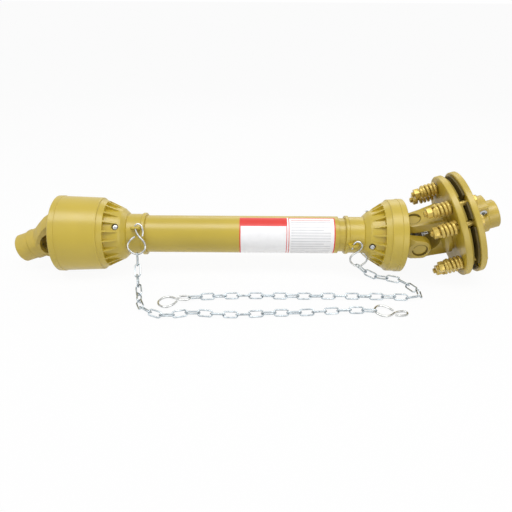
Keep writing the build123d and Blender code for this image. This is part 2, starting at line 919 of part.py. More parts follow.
# Friction clutch
yoke_plate_end = plate_face + yoke_plate_thickness
flange_face = yoke_plate_end + disc_thickness
flange_end = flange_face + flange_thickness
pressure_face = flange_end + disc_thickness
pressure_end = pressure_face + pressure_plate_thickness
bushing_outer_radius = hub_pilot_radius + bushing_wall


def bolt_places(height):
    # planes on the bolt circle, at a height along the clutch's axis
    places = []
    pairs = [pair + side for pair in range(0, 360, 90) for side in (-bolt_pair_half, bolt_pair_half)]
    for angle in pairs:
        turn = radians(angle + bolt_pair_turn)
        across = clutch_plane.x_dir * cos(turn) + clutch_plane.y_dir * sin(turn)
        origin = clutch_plane.origin + clutch_plane.z_dir * height + across * bolt_circle_radius
        places.append(Plane(origin=origin, x_dir=across, z_dir=clutch_plane.z_dir))
    return places


with BuildPart() as clutch_yoke:
    extrude(
        ear_outline(clutch_plane, plate_face, clutch_arm_half_width), amount=ear_face, both=True
    )
    with BuildSketch(pin_side(clutch_plane)):
        with BuildLine():
            Polyline(
                (0, -ear_radius),
                (ear_envelope_radius - 7, -ear_radius),
                (ear_envelope_radius, -ear_radius + 8),
                (ear_envelope_radius, 16),
                (yoke_boss_radius + 1, yoke_boss_start),
                (0, yoke_boss_start),
                close=True,
            )
        make_face()
    revolve(axis=axis_of(clutch_plane), mode=Mode.INTERSECT)
    with BuildSketch(pin_side(clutch_plane)):
        with BuildLine():
            Polyline(
                (0, throat_depth - 8),
                (yoke_boss_radius - 8, yoke_boss_start - 4),
                (yoke_boss_radius, yoke_boss_start),
                (yoke_boss_radius, yoke_boss_end),
                (yoke_neck_radius, yoke_boss_end + 1.5),
                (yoke_neck_radius, plate_face - 1),
                (yoke_neck_radius + 1, plate_face),
                (plate_radius - plate_edge, plate_face),
                (plate_radius, plate_face + plate_edge),
                (plate_radius, yoke_plate_end - plate_edge),
                (plate_radius - plate_edge, yoke_plate_end),
                (0, yoke_plate_end),
                close=True,
            )
        make_face()
    revolve(axis=axis_of(clutch_plane))
    extrude(
        throat_outline(clutch_plane, throat_depth),
        amount=2 * ear_envelope_radius,
        both=True,
        mode=Mode.SUBTRACT,
    )
    revolve(cup_bore(clutch_plane), axis=pin_line(clutch_plane), mode=Mode.SUBTRACT)
    with BuildSketch(clutch_plane.offset(yoke_plate_end - hub_pilot_length - hub_pilot_gap)):
        Circle(bushing_outer_radius)
    extrude(amount=hub_pilot_length * 2, mode=Mode.SUBTRACT)
    for place in bolt_places(plate_face - 1):
        with BuildSketch(place):
            Circle(bolt_radius + bolt_hole_gap)
        extrude(amount=yoke_plate_thickness + 2, mode=Mode.SUBTRACT)

with BuildPart() as clutch_bushing:
    with BuildSketch(clutch_plane.offset(yoke_plate_end - hub_pilot_length)):
        Circle(bushing_outer_radius)
        Circle(hub_pilot_radius + running_clearance, mode=Mode.SUBTRACT)
    extrude(amount=hub_pilot_length)


def friction_disc(height):
    # lining ring with a notch open to its rim at each bolt
    with BuildPart() as disc:
        with BuildSketch(clutch_plane.offset(height)):
            Circle(disc_radius)
            Circle(disc_bore_radius, mode=Mode.SUBTRACT)
        extrude(amount=disc_thickness)
        for place in bolt_places(height):
            with BuildSketch(place):
                Circle(disc_notch_radius)
                with Locations((disc_radius / 2, 0)):
                    Rectangle(disc_radius, 2 * disc_notch_radius)
            extrude(amount=disc_thickness, mode=Mode.SUBTRACT)
    return disc


friction_disc_yoke_side = friction_disc(yoke_plate_end)
friction_disc_plate_side = friction_disc(flange_end)

with BuildPart() as pressure_plate:
    with BuildSketch(clutch_plane.offset(pressure_face)):
        Circle(plate_radius)
        Circle(hub_collar_radius + hub_block_gap, mode=Mode.SUBTRACT)
    extrude(amount=pressure_plate_thickness)
    chamfer(pressure_plate.edges().filter_by(GeomType.CIRCLE).sort_by(SortBy.RADIUS)[-2:], plate_edge)
    for place in bolt_places(pressure_face - 1):
        with BuildSketch(place):
            Circle(bolt_radius + bolt_hole_gap)
        extrude(amount=pressure_plate_thickness + 2, mode=Mode.SUBTRACT)

# Splined hub driven by its flange between the friction discs
hub_block_plane = clutch_plane.offset(pressure_end + hub_block_gap)
clamp_plane = Plane(
    origin=clutch_plane.origin
    + clutch_plane.z_dir * clamp_bolt_place
    + clutch_plane.x_dir * clamp_bolt_offset,
    x_dir=clutch_plane.z_dir,
    z_dir=clutch_plane.y_dir,
)

with BuildPart() as clutch_hub:
    with BuildSketch(pin_side(clutch_plane)):
        with BuildLine():
            Polyline(
                (0, yoke_plate_end - hub_pilot_length),
                (hub_pilot_radius, yoke_plate_end - hub_pilot_length),
                (hub_pilot_radius, yoke_plate_end + 0.5),
                (hub_collar_radius, yoke_plate_end + 0.5),
                (hub_collar_radius, flange_face + running_clearance),
                (flange_radius, flange_face + running_clearance),
                (flange_radius, flange_end - running_clearance),
                (hub_collar_radius, flange_end - running_clearance),
                (hub_collar_radius, hub_block_end - 2),
                (hub_outer_radius, hub_block_end),
                (hub_outer_radius, hub_end - 1.5),
                (hub_outer_radius - 1.5, hub_end),
                (0, hub_end),
                close=True,
            )
        make_face()
    revolve(axis=axis_of(clutch_plane))
    with BuildSketch(hub_block_plane):
        with BuildLine():
            block_corner_x = sqrt(hub_block_reach**2 - hub_block_half_width**2)
            ThreePointArc(
                (block_corner_x, -hub_block_half_width),
                (hub_block_reach, 0),
                (block_corner_x, hub_block_half_width),
            )
            Polyline(
                (block_corner_x, hub_block_half_width),
                (0, hub_block_half_width),
                (0, -hub_block_half_width),
                (block_corner_x, -hub_block_half_width),
            )
        make_face()
    extrude(amount=hub_block_end - pressure_end - hub_block_gap)
    far_edges = clutch_hub.edges().filter_by(Axis(clutch_plane.origin, clutch_plane.z_dir))
    fillet(far_edges.sort_by(Axis(clutch_plane.origin, clutch_plane.x_dir))[-2:], hub_block_corner)
    with BuildSketch(clutch_plane):
        spline_bore()
    extrude(amount=hub_end + 1, mode=Mode.SUBTRACT)
    with BuildSketch(clamp_plane):
        Circle(clamp_bolt_radius + running_clearance)
    extrude(amount=2 * hub_block_half_width, both=True, mode=Mode.SUBTRACT)
    with BuildSketch(clamp_plane.offset(hub_block_half_width - clamp_head_depth)):
        Circle(clamp_head_radius + running_clearance)
    extrude(amount=hub_block_half_width, mode=Mode.SUBTRACT)
    with BuildSketch(clamp_plane.offset(-hub_block_half_width)):
        Circle(clamp_nut_across / 2 + 2)
    extrude(amount=-2 * clamp_nut_height, mode=Mode.SUBTRACT)

with BuildPart() as hub_clamp_bolt:
    with BuildSketch(clamp_plane.offset(-hub_block_half_width - clamp_nut_height - 1)):
        Circle(clamp_bolt_radius)
    extrude(amount=2 * hub_block_half_width + clamp_nut_height + 1 - clamp_head_depth)
    with BuildSketch(clamp_plane.offset(hub_block_half_width - clamp_head_depth)):
        Circle(clamp_head_radius)
    extrude(amount=clamp_head_depth)
    with BuildSketch(clamp_plane.offset(hub_block_half_width)):
        RegularPolygon(clamp_head_radius - 3, 6)
    extrude(amount=-clamp_socket_depth, mode=Mode.SUBTRACT)

with BuildPart() as hub_clamp_nut:
    with BuildSketch(clamp_plane.offset(-hub_block_half_width - clamp_nut_height)):
        RegularPolygon(clamp_nut_across / 2, 6, major_radius=False)
        Circle(clamp_bolt_radius, mode=Mode.SUBTRACT)
    extrude(amount=clamp_nut_height)

nut_face = bolt_tip + bolt_tip_past_nut
spring_start = nut_face + nut_height
spring_length = plate_face - spring_start

with BuildPart() as clutch_bolts:
    for place in bolt_places(0):
        with BuildSketch(place.offset(bolt_tip)):
            Circle(bolt_radius)
        extrude(amount=pressure_end - bolt_tip)
        with BuildSketch(place.offset(pressure_end)):
            RegularPolygon(bolt_head_across / 2, 6, major_radius=False)
        extrude(amount=bolt_head_height)

with BuildPart() as clutch_nuts:
    for place in bolt_places(nut_face):
        with BuildSketch(place):
            RegularPolygon(bolt_head_across / 2, 6, major_radius=False)
            Circle(bolt_radius, mode=Mode.SUBTRACT)
        extrude(amount=nut_height)

clutch_spring = coil(
    bolt_places(spring_start)[0],
    spring_outer_radius - spring_wire / 2,
    spring_wire,
    spring_length - spring_gap_at_seat,
    spring_turns,
    spring_steps_per_turn,
)
with BuildPart() as clutch_springs:
    first = bolt_places(spring_start)[0]
    for place in bolt_places(spring_start):
        add(clutch_spring.part.moved(place.location * first.location.inverse()))


# Wire S-hooks: an open upper hook through the lug, and a closed loop that holds the chain
# Places across and down from the wire's centre in the lug hole
left_hook_route = (
    (12.4, 13.6), (13.2, 3.0), (6.2, -7.4), (0.6, -4.6), (1.0, 3.0), (5.0, 12.0), (14.7, 23.6),
    (16.8, 32.0), (12.5, 40.2), (2.9, 44.6), (-8.3, 40.2), (-13.5, 31.5), (-9.6, 21.5), (-0.6, 14.0),
)
right_hook_route = (
    (-1.8, 7.6), (0.0, 0.0), (3.2, -5.6), (8.4, -7.0), (14.6, -1.6), (14.2, 5.4), (8.0, 12.4),
    (0.0, 18.6), (-3.6, 26.0), (0.4, 35.6), (9.6, 40.2), (20.6, 36.2), (25.6, 27.0), (22.0, 18.4),
    (15.6, 13.8),
)


def hook(origin, across, down, route):
    # bent from round wire in one plane
    with BuildPart() as bent:
        with BuildLine() as path:
            Spline(*[origin + across * place[0] + down * place[1] for place in route])
        with BuildSketch(Plane(origin=path.line @ 0, z_dir=path.line % 0, x_dir=across.cross(down))):
            RegularPolygon(hook_wire / 2, 6)
        sweep()
    return bent


def lug_hole(x, angle, neck_radius):
    return Vector(x, 0, axis_height) + radial_plane(angle).y_dir * (neck_radius + lug_reach - lug_hole_edge)


left_hook_down = Vector(0, -sin(radians(left_hook_lean)), -cos(radians(left_hook_lean)))
left_hook_origin = lug_hole(left_lug_x, left_lug_angle, left_neck_radius)
right_hook_origin = lug_hole(right_lug_x, right_lug_angle, right_neck_radius)
left_lug_hook = hook(left_hook_origin, along, left_hook_down, left_hook_route)
right_lug_hook = hook(right_hook_origin, along, Vector(0, 0, -1), right_hook_route)


# Chains, laid as in the photograph: down from the hook, then along the floor
def chain_link():
    # one link about the origin, long along X and flat in XY
    half_length = (link_pitch + link_play + link_wire) / 2
    half_width = (link_width - link_wire) / 2
    shoulder = half_length - half_width
    end_half = half_width * 0.58
    with BuildPart() as link:
        with BuildLine() as path:
            Polyline(
                (0, half_width),
                (shoulder, half_width),
                (half_length, end_half),
                (half_length, -end_half),
                (shoulder, -half_width),
                (-shoulder, -half_width),
                (-half_length, -end_half),
                (-half_length, end_half),
                (-shoulder, half_width),
                close=True,
            )
        with BuildSketch(Plane(origin=path.line @ 0, z_dir=path.line % 0, x_dir=(0, 0, 1))):
            RegularPolygon(link_wire / 2, 6)
        sweep(transition=Transition.RIGHT)
    return link


def link_places(route, start_twist=0):
    # planes of the links at equal steps along the route, each turned against the last
    line = Spline(*route)
    count = int((line.length - link_pitch / 2) / link_pitch) + 1
    places = []
    for number in range(count):
        middle = link_pitch * (number + 0.5)
        if middle > line.length:
            break
        centre = line.position_at(middle, position_mode=PositionMode.LENGTH)
        ahead = line.tangent_at(middle, position_mode=PositionMode.LENGTH)
        upright = (Vector(0, 0, 1) - ahead * ahead.Z).normalized()
        roll = link_roll if number % 2 else -link_roll
        roll += link_wander * sin(2.3 * number)
        roll -= start_twist * max(0, 1 - number / twisted_links)
        normal = upright.rotate(Axis((0, 0, 0), ahead), roll)
        places.append(Plane(origin=centre, x_dir=ahead, z_dir=normal))
    return places


def chain(route, start_twist=0):
    link = chain_link().part
    with BuildPart() as links:
        for place in link_places(route, start_twist):
            add(link.moved(place.location))
    return links


lying = link_lying_height
left_chain_start = left_hook_origin + along * 2.9 + left_hook_down * 43.5
right_chain_start = right_hook_origin + along * 9.6 + Vector(0, 0, -1) * 37.6
left_chain_route = (
    left_chain_start, (-203.5, -62, 32), (-200, -84, 16), (-193, -112, lying + 1),
    (-184, -143.6, lying), (-167, -160, lying), (-148, -169, lying), (-128, -168, lying),
    (-108, -163, lying), (-71.5, -164.6, lying), (-24.4, -166.8, lying), (22.6, -162, lying),
    (69.8, -160, lying), (117.7, -155, lying), (157.8, -152, lying), (181, -153, lying),
)
right_chain_route = (
    right_chain_start, (196, -42, 14), (216, -45, lying + 1), (236, -49, lying),
    (256, -61, lying), (268, -84, lying), (274, -99, lying), (264, -110, lying),
    (246, -112, lying), (206, -110.5, lying), (140, -109.7, lying), (73.5, -110.5, lying),
    (7, -110, lying), (-59, -112, lying), (-116, -118, lying),
)
left_chain = chain(left_chain_route, left_chain_twist)
right_chain = chain(right_chain_route)


def end_hook(links, heading, held_by, turn):
    # lies on the floor with one of its bends, a place on the route, through the last link
    last = link_places(links)[-1]
    ahead = Vector(cos(radians(heading)), sin(radians(heading)), -end_hook_slope).normalized()
    sideways = ahead.cross(Vector(0, 0, 1)).normalized()
    bend = last.origin + last.x_dir * (link_pitch + link_play - hook_wire) / 2
    origin = bend - ahead * turn * held_by[1] - sideways * held_by[0]
    return hook(origin, sideways, ahead * turn, left_hook_route)


# The left hook's large loop and the right hook's small loop hold the chain
left_end_hook = end_hook(left_chain_route, 2.0, left_hook_route[9], -1)
right_end_hook = end_hook(right_chain_route, 188.0, left_hook_route[2], 1)


pieces = {
    "tractor_yoke": tractor_yoke,
    "yoke_push_pin": yoke_push_pin,
    "push_pin_spring": push_pin_spring,
    "left_cross": left_cross,
    "left_grease_nipple": left_grease_nipple,
    "left_cups_tractor_side": left_cups_tractor_side,
    "left_cups_tube_side": left_cups_tube_side,
    "left_circlips_tractor_side": left_circlips_tractor_side,
    "left_circlips_tube_side": left_circlips_tube_side,
    "left_inner_yoke": left_inner_yoke,
    "left_roll_pin": left_roll_pin,
    "outer_drive_tube": outer_drive_tube,
    "inner_drive_tube": inner_drive_tube,
    "right_roll_pin": right_roll_pin,
    "right_inner_yoke": right_inner_yoke,
    "right_cross": right_cross,
    "right_grease_nipple": right_grease_nipple,
    "right_cups_tube_side": right_cups_tube_side,
    "right_cups_clutch_side": right_cups_clutch_side,
    "right_circlips_tube_side": right_circlips_tube_side,
    "right_circlips_clutch_side": right_circlips_clutch_side,
    "clutch_yoke": clutch_yoke,
    "clutch_bushing": clutch_bushing,
    "friction_disc_yoke_side": friction_disc_yoke_side,
    "clutch_hub": clutch_hub,
    "friction_disc_plate_side": friction_disc_plate_side,
    "pressure_plate": pressure_plate,
    "clutch_bolts": clutch_bolts,
    "clutch_springs": clutch_springs,
    "clutch_nuts": clutch_nuts,
    "hub_clamp_bolt": hub_clamp_bolt,
    "hub_clamp_nut": hub_clamp_nut,
    "left_guard_bell": left_guard_bell,
    "left_guard_cone": left_guard_cone,
    "left_guard_bearing": left_guard_bearing,
    "left_guard_screws": left_guard_screws,
    "outer_guard_tube": outer_guard_tube,
    "inner_guard_tube": inner_guard_tube,
    "right_guard_cone": right_guard_cone,
    "right_guard_bell": right_guard_bell,
    "right_guard_bearing": right_guard_bearing,
    "right_guard_screws": right_guard_screws,
    "left_lug_hook": left_lug_hook,
    "left_chain": left_chain,
    "left_end_hook": left_end_hook,
    "right_lug_hook": right_lug_hook,
    "right_chain": right_chain,
    "right_end_hook": right_end_hook,
}

# The origin goes to the floor under the middle of the whole shaft
whole = Compound([piece.part for piece in pieces.values()]).bounding_box()
to_origin = Location((-whole.center().X, -whole.center().Y, 0))
for name, piece in pieces.items():
    piece.part.locate(to_origin)
    piece.part.label = name
    export_step(piece.part, f"parts/{name}.step")
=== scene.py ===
import json
import math

import bmesh
import bpy
from mathutils import Matrix, Vector


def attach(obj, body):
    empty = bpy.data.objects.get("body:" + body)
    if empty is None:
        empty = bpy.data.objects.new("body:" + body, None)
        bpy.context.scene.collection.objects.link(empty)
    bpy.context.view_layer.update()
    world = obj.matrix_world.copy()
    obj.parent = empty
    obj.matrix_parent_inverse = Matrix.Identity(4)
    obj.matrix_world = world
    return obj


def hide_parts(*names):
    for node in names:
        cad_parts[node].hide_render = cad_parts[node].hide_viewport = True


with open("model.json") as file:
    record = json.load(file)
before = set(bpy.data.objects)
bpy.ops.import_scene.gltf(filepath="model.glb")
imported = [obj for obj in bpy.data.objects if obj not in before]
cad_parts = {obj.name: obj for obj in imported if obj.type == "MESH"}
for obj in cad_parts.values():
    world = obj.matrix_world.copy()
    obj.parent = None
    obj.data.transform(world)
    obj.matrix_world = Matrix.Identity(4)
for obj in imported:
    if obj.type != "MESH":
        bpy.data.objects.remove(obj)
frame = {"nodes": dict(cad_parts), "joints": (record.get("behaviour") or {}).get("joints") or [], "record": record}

bl_info = {
    "name": "PTO drive shaft looks",
    "version": (1, 0, 0),
    "blender": (4, 5, 0),
    "location": "3D View > Sidebar > Drive shaft",
    "description": "Springs, fasteners, chains, hooks, label and finishes of a PTO drive shaft",
    "category": "Object",
}

# Where the parts of the shaft are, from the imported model
MM = 0.001
joints = {joint["name"]: joint for joint in frame["joints"]}
shaft_middle = Vector(joints["drive_spin"]["pos_m"])
clutch_centre = Vector(joints["clutch_pin"]["pos_m"])
clutch_axis = Vector(joints["clutch_slip"]["axis"]).normalized()
clutch_pin = Vector(joints["clutch_pin"]["axis"]).normalized()

# Clutch fasteners, in millimetres, with heights from the joint along the clutch's axis
BOLT_CIRCLE_RADIUS = 71.0
BOLT_ANGLES = (21, 50, 111, 140, 201, 230, 291, 320)
BOLT_RADIUS = 5.0
BOLT_TIP = 13.0
TIP_BEVEL_WIDTH = 1.3
TIP_BEVEL_HEIGHT = 0.5
THREAD_START = 0.9
THREAD_DEPTH = 0.75
THREAD_UNDER_SPRING = 3.0
BOLT_STEPS = 24
SHANK_CLEARANCE = 0.1
BOLT_HEAD = 6.4
NUT_FACE = 17.5
NUT_HEIGHT = 8.5
ACROSS_FLATS = 17.0
HEXAGON_CROWN = 1.3
HEXAGON_EDGE = 0.22
PLATE_END = 92.1

# Clutch springs, in millimetres; the closed coils rise by a share of the others' pitch
SPRING_START = 26.0
SPRING_END = 58.0
SPRING_RADIUS = 9.1
SPRING_STEPS = 24
SPRING_SIDES = 14
CLOSED_TURNS = 0.7
CLOSED_COIL_RISE = 0.55
# the coils by the nut are smaller, by a share that fades out over part of the spring
SPRING_TAPER = 0.10
TAPERED_SHARE = 0.35
# turn from each spring's first coil to the next one's, in radians
SPRING_STAGGER = 1.9

# Chains and hooks, in millimetres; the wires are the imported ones, which have flat sides
LINK_PITCH = 20.0
LINK_PLAY = 0.6
LINK_WIDTH = 12.1
LINK_WIRE = 2.3
LINK_CORNER_SHARE = 0.8
LINK_SIDES = 10
LINK_BEND_STEPS = 5
HOOK_WIRE = 2.8
END_HOOK_SLOPE = 0.075
# middle, long way and upright of the links that touch at the right chain's turn
TURN_LINKS = (
    ((268.85, -38.62, 5.65), (0.436, -0.900, 0.001), (-0.543, -0.263, 0.797)),
    ((276.70, -56.73, 5.65), (-0.102, -0.995, 0.0), (0.592, -0.061, 0.804)),
    ((262.68, -69.50, 5.65), (-0.970, -0.242, 0.0), (-0.160, 0.644, 0.748)),
)
# routes of the hooks' wire, across and down from the hole that holds it
LEFT_HOOK = (
    (12.4, 13.6), (13.2, 3.0), (6.2, -7.4), (0.6, -4.6), (1.0, 3.0), (5.0, 12.0), (14.7, 23.6),
    (16.8, 32.0), (12.5, 40.2), (2.9, 44.6), (-8.3, 40.2), (-13.5, 31.5), (-9.6, 21.5), (-0.6, 14.0),
)
RIGHT_HOOK = (
    (-1.8, 7.6), (0.0, 0.0), (3.2, -5.6), (8.4, -7.0), (14.6, -1.6), (14.2, 5.4), (8.0, 12.4),
    (0.0, 18.6), (-3.6, 26.0), (0.4, 35.6), (9.6, 40.2), (20.6, 36.2), (25.6, 27.0), (22.0, 18.4),
    (15.6, 13.8),
)
LARGE_BEND = LEFT_HOOK[9]
SMALL_BEND = LEFT_HOOK[2]
LEFT_HOOK_LEAN = 20.0
# the lugs' holes: place along the shaft, angle round it in degrees and reach from its axis
LEFT_LUG = (-208.0, 37.0, 41.2)
RIGHT_LUG = (169.0, -4.0, 38.1)
# the ways in which the chains' last links point, in degrees round the upright
LEFT_CHAIN_HEADING = 2.0
RIGHT_CHAIN_HEADING = 188.0

# Guard screws, in millimetres, with radius and height of the profile from the head's top
SCREW_PROFILE = (
    (0, -0.80), (1.6, -0.83), (2.8, -0.95), (3.6, -1.2), (4.0, -1.55), (4.2, -2.0), (4.2, -2.6),
    (2.0, -2.6), (2.0, -12.4), (1.4, -13.0), (0, -13.0),
)
# turn of the crosses, in radians
SCREW_TURN = 0.5
CROSS_LENGTH = 5.4
CROSS_WIDTH = 1.1
CROSS_DEPTH = 2.0
# radius and middle of the dark disc painted as shadow in each screw's recess, set off centre so that it shows
# above the head
SHADOW_DISC_RADIUS = 5.7
SHADOW_DISC_MIDDLE = (-0.5, 0.9, -2.4)

# Label, in millimetres along the shaft and degrees round it from the camera's side
TUBE_RADIUS = 33.0
LABEL_LIFT = 0.12
LABEL_TOP = 86.0
LABEL_BOTTOM = -78.0
HEADER_BOTTOM = 50.0
LEFT_PANEL_SHARE = 0.497
PANEL_GAP = 2.6
BORDER = 2.1
THIN_BORDER = 0.6 * BORDER
PATCH_STEP = 3.0
RULES = 17
RULE_LIFT = 0.06
RULE_HEIGHT = 1.4
RULE_PITCH = 8.6
RULES_TOP_MARGIN = 9.0
RULES_LEFT_MARGIN = 4.5
RULES_RIGHT_MARGIN = 6.0
SHORT_RULE_LOSS = 12.0

# Stage, in metres and degrees; each lamp has a place, a width, a height and a share of the light
LAMPS = (
    ("overhead", (0.0, -0.30, 1.27), 2.6, 0.55, 1.05),
    ("left_front", (-1.3, -1.2, 0.9), 0.9, 0.9, 0.10),
    ("right_front", (0.80, -1.21, 0.26), 0.6, 0.7, 0.17),
    ("back", (0.3, 1.3, 0.9), 1.6, 0.5, 0.25),
)
LIT_POINT = (0, 0.03, 0.06)
SKY_LIGHT = 0.42
FLOOR_GLOW = 0.94
FLOOR_SIZE = 40
CAMERA_PLACE = (0, -0.8381, 0.3832)
CAMERA_TILT = 63.0
CAMERA_ROLL = 0.37
SENSOR_WIDTH = 36.0
FOCAL_PIXELS = 512.4
IMAGE_PIXELS = 512


class ShaftFinish(bpy.types.PropertyGroup):
    """Colours of the guards and the metal parts"""

    plastic: bpy.props.FloatVectorProperty(
        name="Guard plastic", description="Colour of the moulded guards",
        subtype="COLOR", size=3, min=0, max=1, default=(0.52, 0.385, 0.030),
    )
    paint: bpy.props.FloatVectorProperty(
        name="Paint", description="Colour of the painted yokes and clutch",
        subtype="COLOR", size=3, min=0, max=1, default=(0.53, 0.385, 0.036),
    )
    gold: bpy.props.FloatVectorProperty(
        name="Gold parts", description="Colour of the clutch springs, bolts and nuts",
        subtype="COLOR", size=3, min=0, max=1, default=(0.64, 0.47, 0.11),
    )
    zinc: bpy.props.FloatVectorProperty(
        name="Zinc", description="Colour of the hooks and screws",
        subtype="COLOR", size=3, min=0, max=1, default=(0.56, 0.57, 0.56),
    )
    chain: bpy.props.FloatVectorProperty(
        name="Chain zinc", description="Colour of the chains",
        subtype="COLOR", size=3, min=0, max=1, default=(0.44, 0.49, 0.52),
    )
    lining: bpy.props.FloatVectorProperty(
        name="Friction lining", description="Colour of the clutch discs",
        subtype="COLOR", size=3, min=0, max=1, default=(0.022, 0.016, 0.010),
    )
    label_red: bpy.props.FloatVectorProperty(
        name="Label red", description="Colour of the label's bands and borders",
        subtype="COLOR", size=3, min=0, max=1, default=(0.72, 0.045, 0.035),
    )


class ShaftSizes(bpy.types.PropertyGroup):
    """Sizes of the detail pieces"""

    spring_wire: bpy.props.FloatProperty(
        name="Spring wire", description="Thickness of the clutch springs' wire",
        default=0.0057, min=0.003, max=0.0065, unit="LENGTH",
    )
    spring_turns: bpy.props.FloatProperty(
        name="Spring turns", description="Number of turns of each clutch spring",
        default=4.6, min=3, max=7,
    )
    thread_pitch: bpy.props.FloatProperty(
        name="Thread pitch", description="Distance between the threads of the clutch bolts",
        default=0.0015, min=0.001, max=0.003, unit="LENGTH",
    )
    link_wire: bpy.props.FloatProperty(
        name="Chain wire", description="Thickness of the chain links' wire",
        default=0.0025, min=0.001, max=0.003, unit="LENGTH",
    )
    hook_wire: bpy.props.FloatProperty(
        name="Hook wire", description="Thickness of the S-hooks' wire",
        default=0.0033, min=0.002, max=0.004, unit="LENGTH",
    )
    label_start: bpy.props.FloatProperty(
        name="Label start", description="Place of the label's left edge along the shaft",
        default=-0.0265, min=-0.2, max=0.1, unit="LENGTH",
    )
    label_length: bpy.props.FloatProperty(
        name="Label length", description="Length of the label along the shaft",
        default=0.167, min=0.05, max=0.2, unit="LENGTH",
    )
    light: bpy.props.FloatProperty(
        name="Light", description="Power of the soft light over the shaft",
        default=15.0, min=0, max=100, unit="POWER",
    )


def placed(origin, x_axis, z_axis):
    # a frame with Z along z_axis and X as near x_axis as it can be
    z = Vector(z_axis).normalized()
    x = (Vector(x_axis) - z * Vector(x_axis).dot(z)).normalized()
    y = z.cross(x)
    rotation = Matrix((x, y, z)).transposed().to_4x4()
    return Matrix.Translation(origin) @ rotation


clutch_place = placed(clutch_centre, clutch_pin, clutch_axis)


def bolt_place(angle, height):
    # on the bolt circle, X outwards and Z along the clutch's axis
    turn = Matrix.Rotation(math.radians(angle), 4, "Z")
    return clutch_place @ turn @ Matrix.Translation((BOLT_CIRCLE_RADIUS * MM, 0, height * MM))


# Materials
def start_material(name):
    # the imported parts' own materials have the slots' plain names
    name = f"{name}_finish"
    material = bpy.data.materials.get(name)
    if material:
        return material, None, None
    material = bpy.data.materials.new(name)
    material.use_nodes = True
    tree = material.node_tree
    return material, tree, tree.nodes["Principled BSDF"]


def object_noise(tree, scale, detail=3.0, roughness=0.5, stretch=(1, 1, 1)):
    coordinates = tree.nodes.new("ShaderNodeTexCoord")
    mapping = tree.nodes.new("ShaderNodeMapping")
    mapping.inputs["Scale"].default_value = stretch
    noise = tree.nodes.new("ShaderNodeTexNoise")
    noise.inputs["Scale"].default_value = scale
    noise.inputs["Detail"].default_value = detail
    noise.inputs["Roughness"].default_value = roughness
    tree.links.new(coordinates.outputs["Object"], mapping.inputs["Vector"])
    tree.links.new(mapping.outputs["Vector"], noise.inputs["Vector"])
    return noise.outputs["Fac"]


def ramp(tree, factor, stops):
    node = tree.nodes.new("ShaderNodeValToRGB")
    elements = node.color_ramp.elements
    elements[0].position, elements[0].color = stops[0][0], stops[0][1]
    elements[1].position, elements[1].color = stops[-1][0], stops[-1][1]
    for position, color in stops[1:-1]:
        elements.new(position).color = color
    tree.links.new(factor, node.inputs["Fac"])
    return node.outputs["Color"]


def shade(color, factor):
    return tuple(min(1.0, part * factor) for part in color[:3]) + (1.0,)


def grey(value):
    return (value, value, value, 1.0)


def mix_colors(tree, factor, first, second, blend="MIX"):
    node = tree.nodes.new("ShaderNodeMix")
    node.data_type = "RGBA"
    node.blend_type = blend
    for socket, value in ((0, factor), (6, first), (7, second)):
        if isinstance(value, bpy.types.NodeSocket):
            tree.links.new(value, node.inputs[socket])
        else:
            node.inputs[socket].default_value = value
    return node.outputs[2]


def bump(tree, height, strength, distance, normal=None):
    node = tree.nodes.new("ShaderNodeBump")
    node.inputs["Strength"].default_value = strength
    node.inputs["Distance"].default_value = distance
    tree.links.new(height, node.inputs["Height"])
    if normal is not None:
        tree.links.new(normal, node.inputs["Normal"])
    return node.outputs["Normal"]


def rounded_edges(tree, radius):
    node = tree.nodes.new("ShaderNodeBevel")
    node.samples = 4
    node.inputs["Radius"].default_value = radius
    return node.outputs["Normal"]


def guard_plastic():
    # moulded polyethylene: broad tone changes, a fine satin grain and small scuffs
    material, tree, shader = start_material("guard_plastic")
    if tree is None:
        return material
    base = bpy.context.scene.shaft_finish.plastic
    broad = ramp(tree, object_noise(tree, 9, 4), [(0.3, shade(base, 0.93)), (0.7, shade(base, 1.06))])
    scratches = object_noise(tree, 60, 6, 0.7, (0.25, 1, 1))
    scuffs = ramp(tree, scratches, [(0.62, grey(0)), (0.78, grey(0.10))])
    color = mix_colors(tree, scuffs, broad, shade(base, 1.5))
    tree.links.new(color, shader.inputs["Base Color"])
    rough = ramp(tree, object_noise(tree, 35, 5), [(0.25, grey(0.27)), (0.75, grey(0.37))])
    tree.links.new(rough, shader.inputs["Roughness"])
    shader.inputs["Specular IOR Level"].default_value = 0.8
    normal = bump(tree, object_noise(tree, 420, 2), 0.10, 0.0002, rounded_edges(tree, 0.0006))
    normal = bump(tree, object_noise(tree, 14, 2), 0.10, 0.0010, normal)
    tree.links.new(normal, shader.inputs["Normal"])
    return material


def cast_paint():
    # glossy paint over forged and turned steel, with its soft unevenness
    material, tree, shader = start_material("yellow_paint")
    if tree is None:
        return material
    base = bpy.context.scene.shaft_finish.paint
    broad = ramp(tree, object_noise(tree, 22, 5), [(0.3, shade(base, 0.86)), (0.7, shade(base, 1.10))])
    runs = ramp(tree, object_noise(tree, 90, 4, 0.6), [(0.35, grey(0.0)), (0.75, grey(0.25))])
    color = mix_colors(tree, runs, broad, shade(base, 0.72))
    tree.links.new(color, shader.inputs["Base Color"])
    rough = ramp(tree, object_noise(tree, 70, 4), [(0.3, grey(0.30)), (0.75, grey(0.42))])
    tree.links.new(rough, shader.inputs["Roughness"])
    # the paint's fine grain keeps it from shining at a flat angle
    facing = tree.nodes.new("ShaderNodeLayerWeight")
    facing.inputs["Blend"].default_value = 0.5
    shine = ramp(tree, facing.outputs["Facing"], [(0.45, grey(0.85)), (0.80, grey(0.12))])
    tree.links.new(shine, shader.inputs["Specular IOR Level"])
    normal = bump(tree, object_noise(tree, 55, 3), 0.22, 0.0012, rounded_edges(tree, 0.0011))
    normal = bump(tree, object_noise(tree, 320, 2), 0.14, 0.0003, normal)
    tree.links.new(normal, shader.inputs["Normal"])
    return material


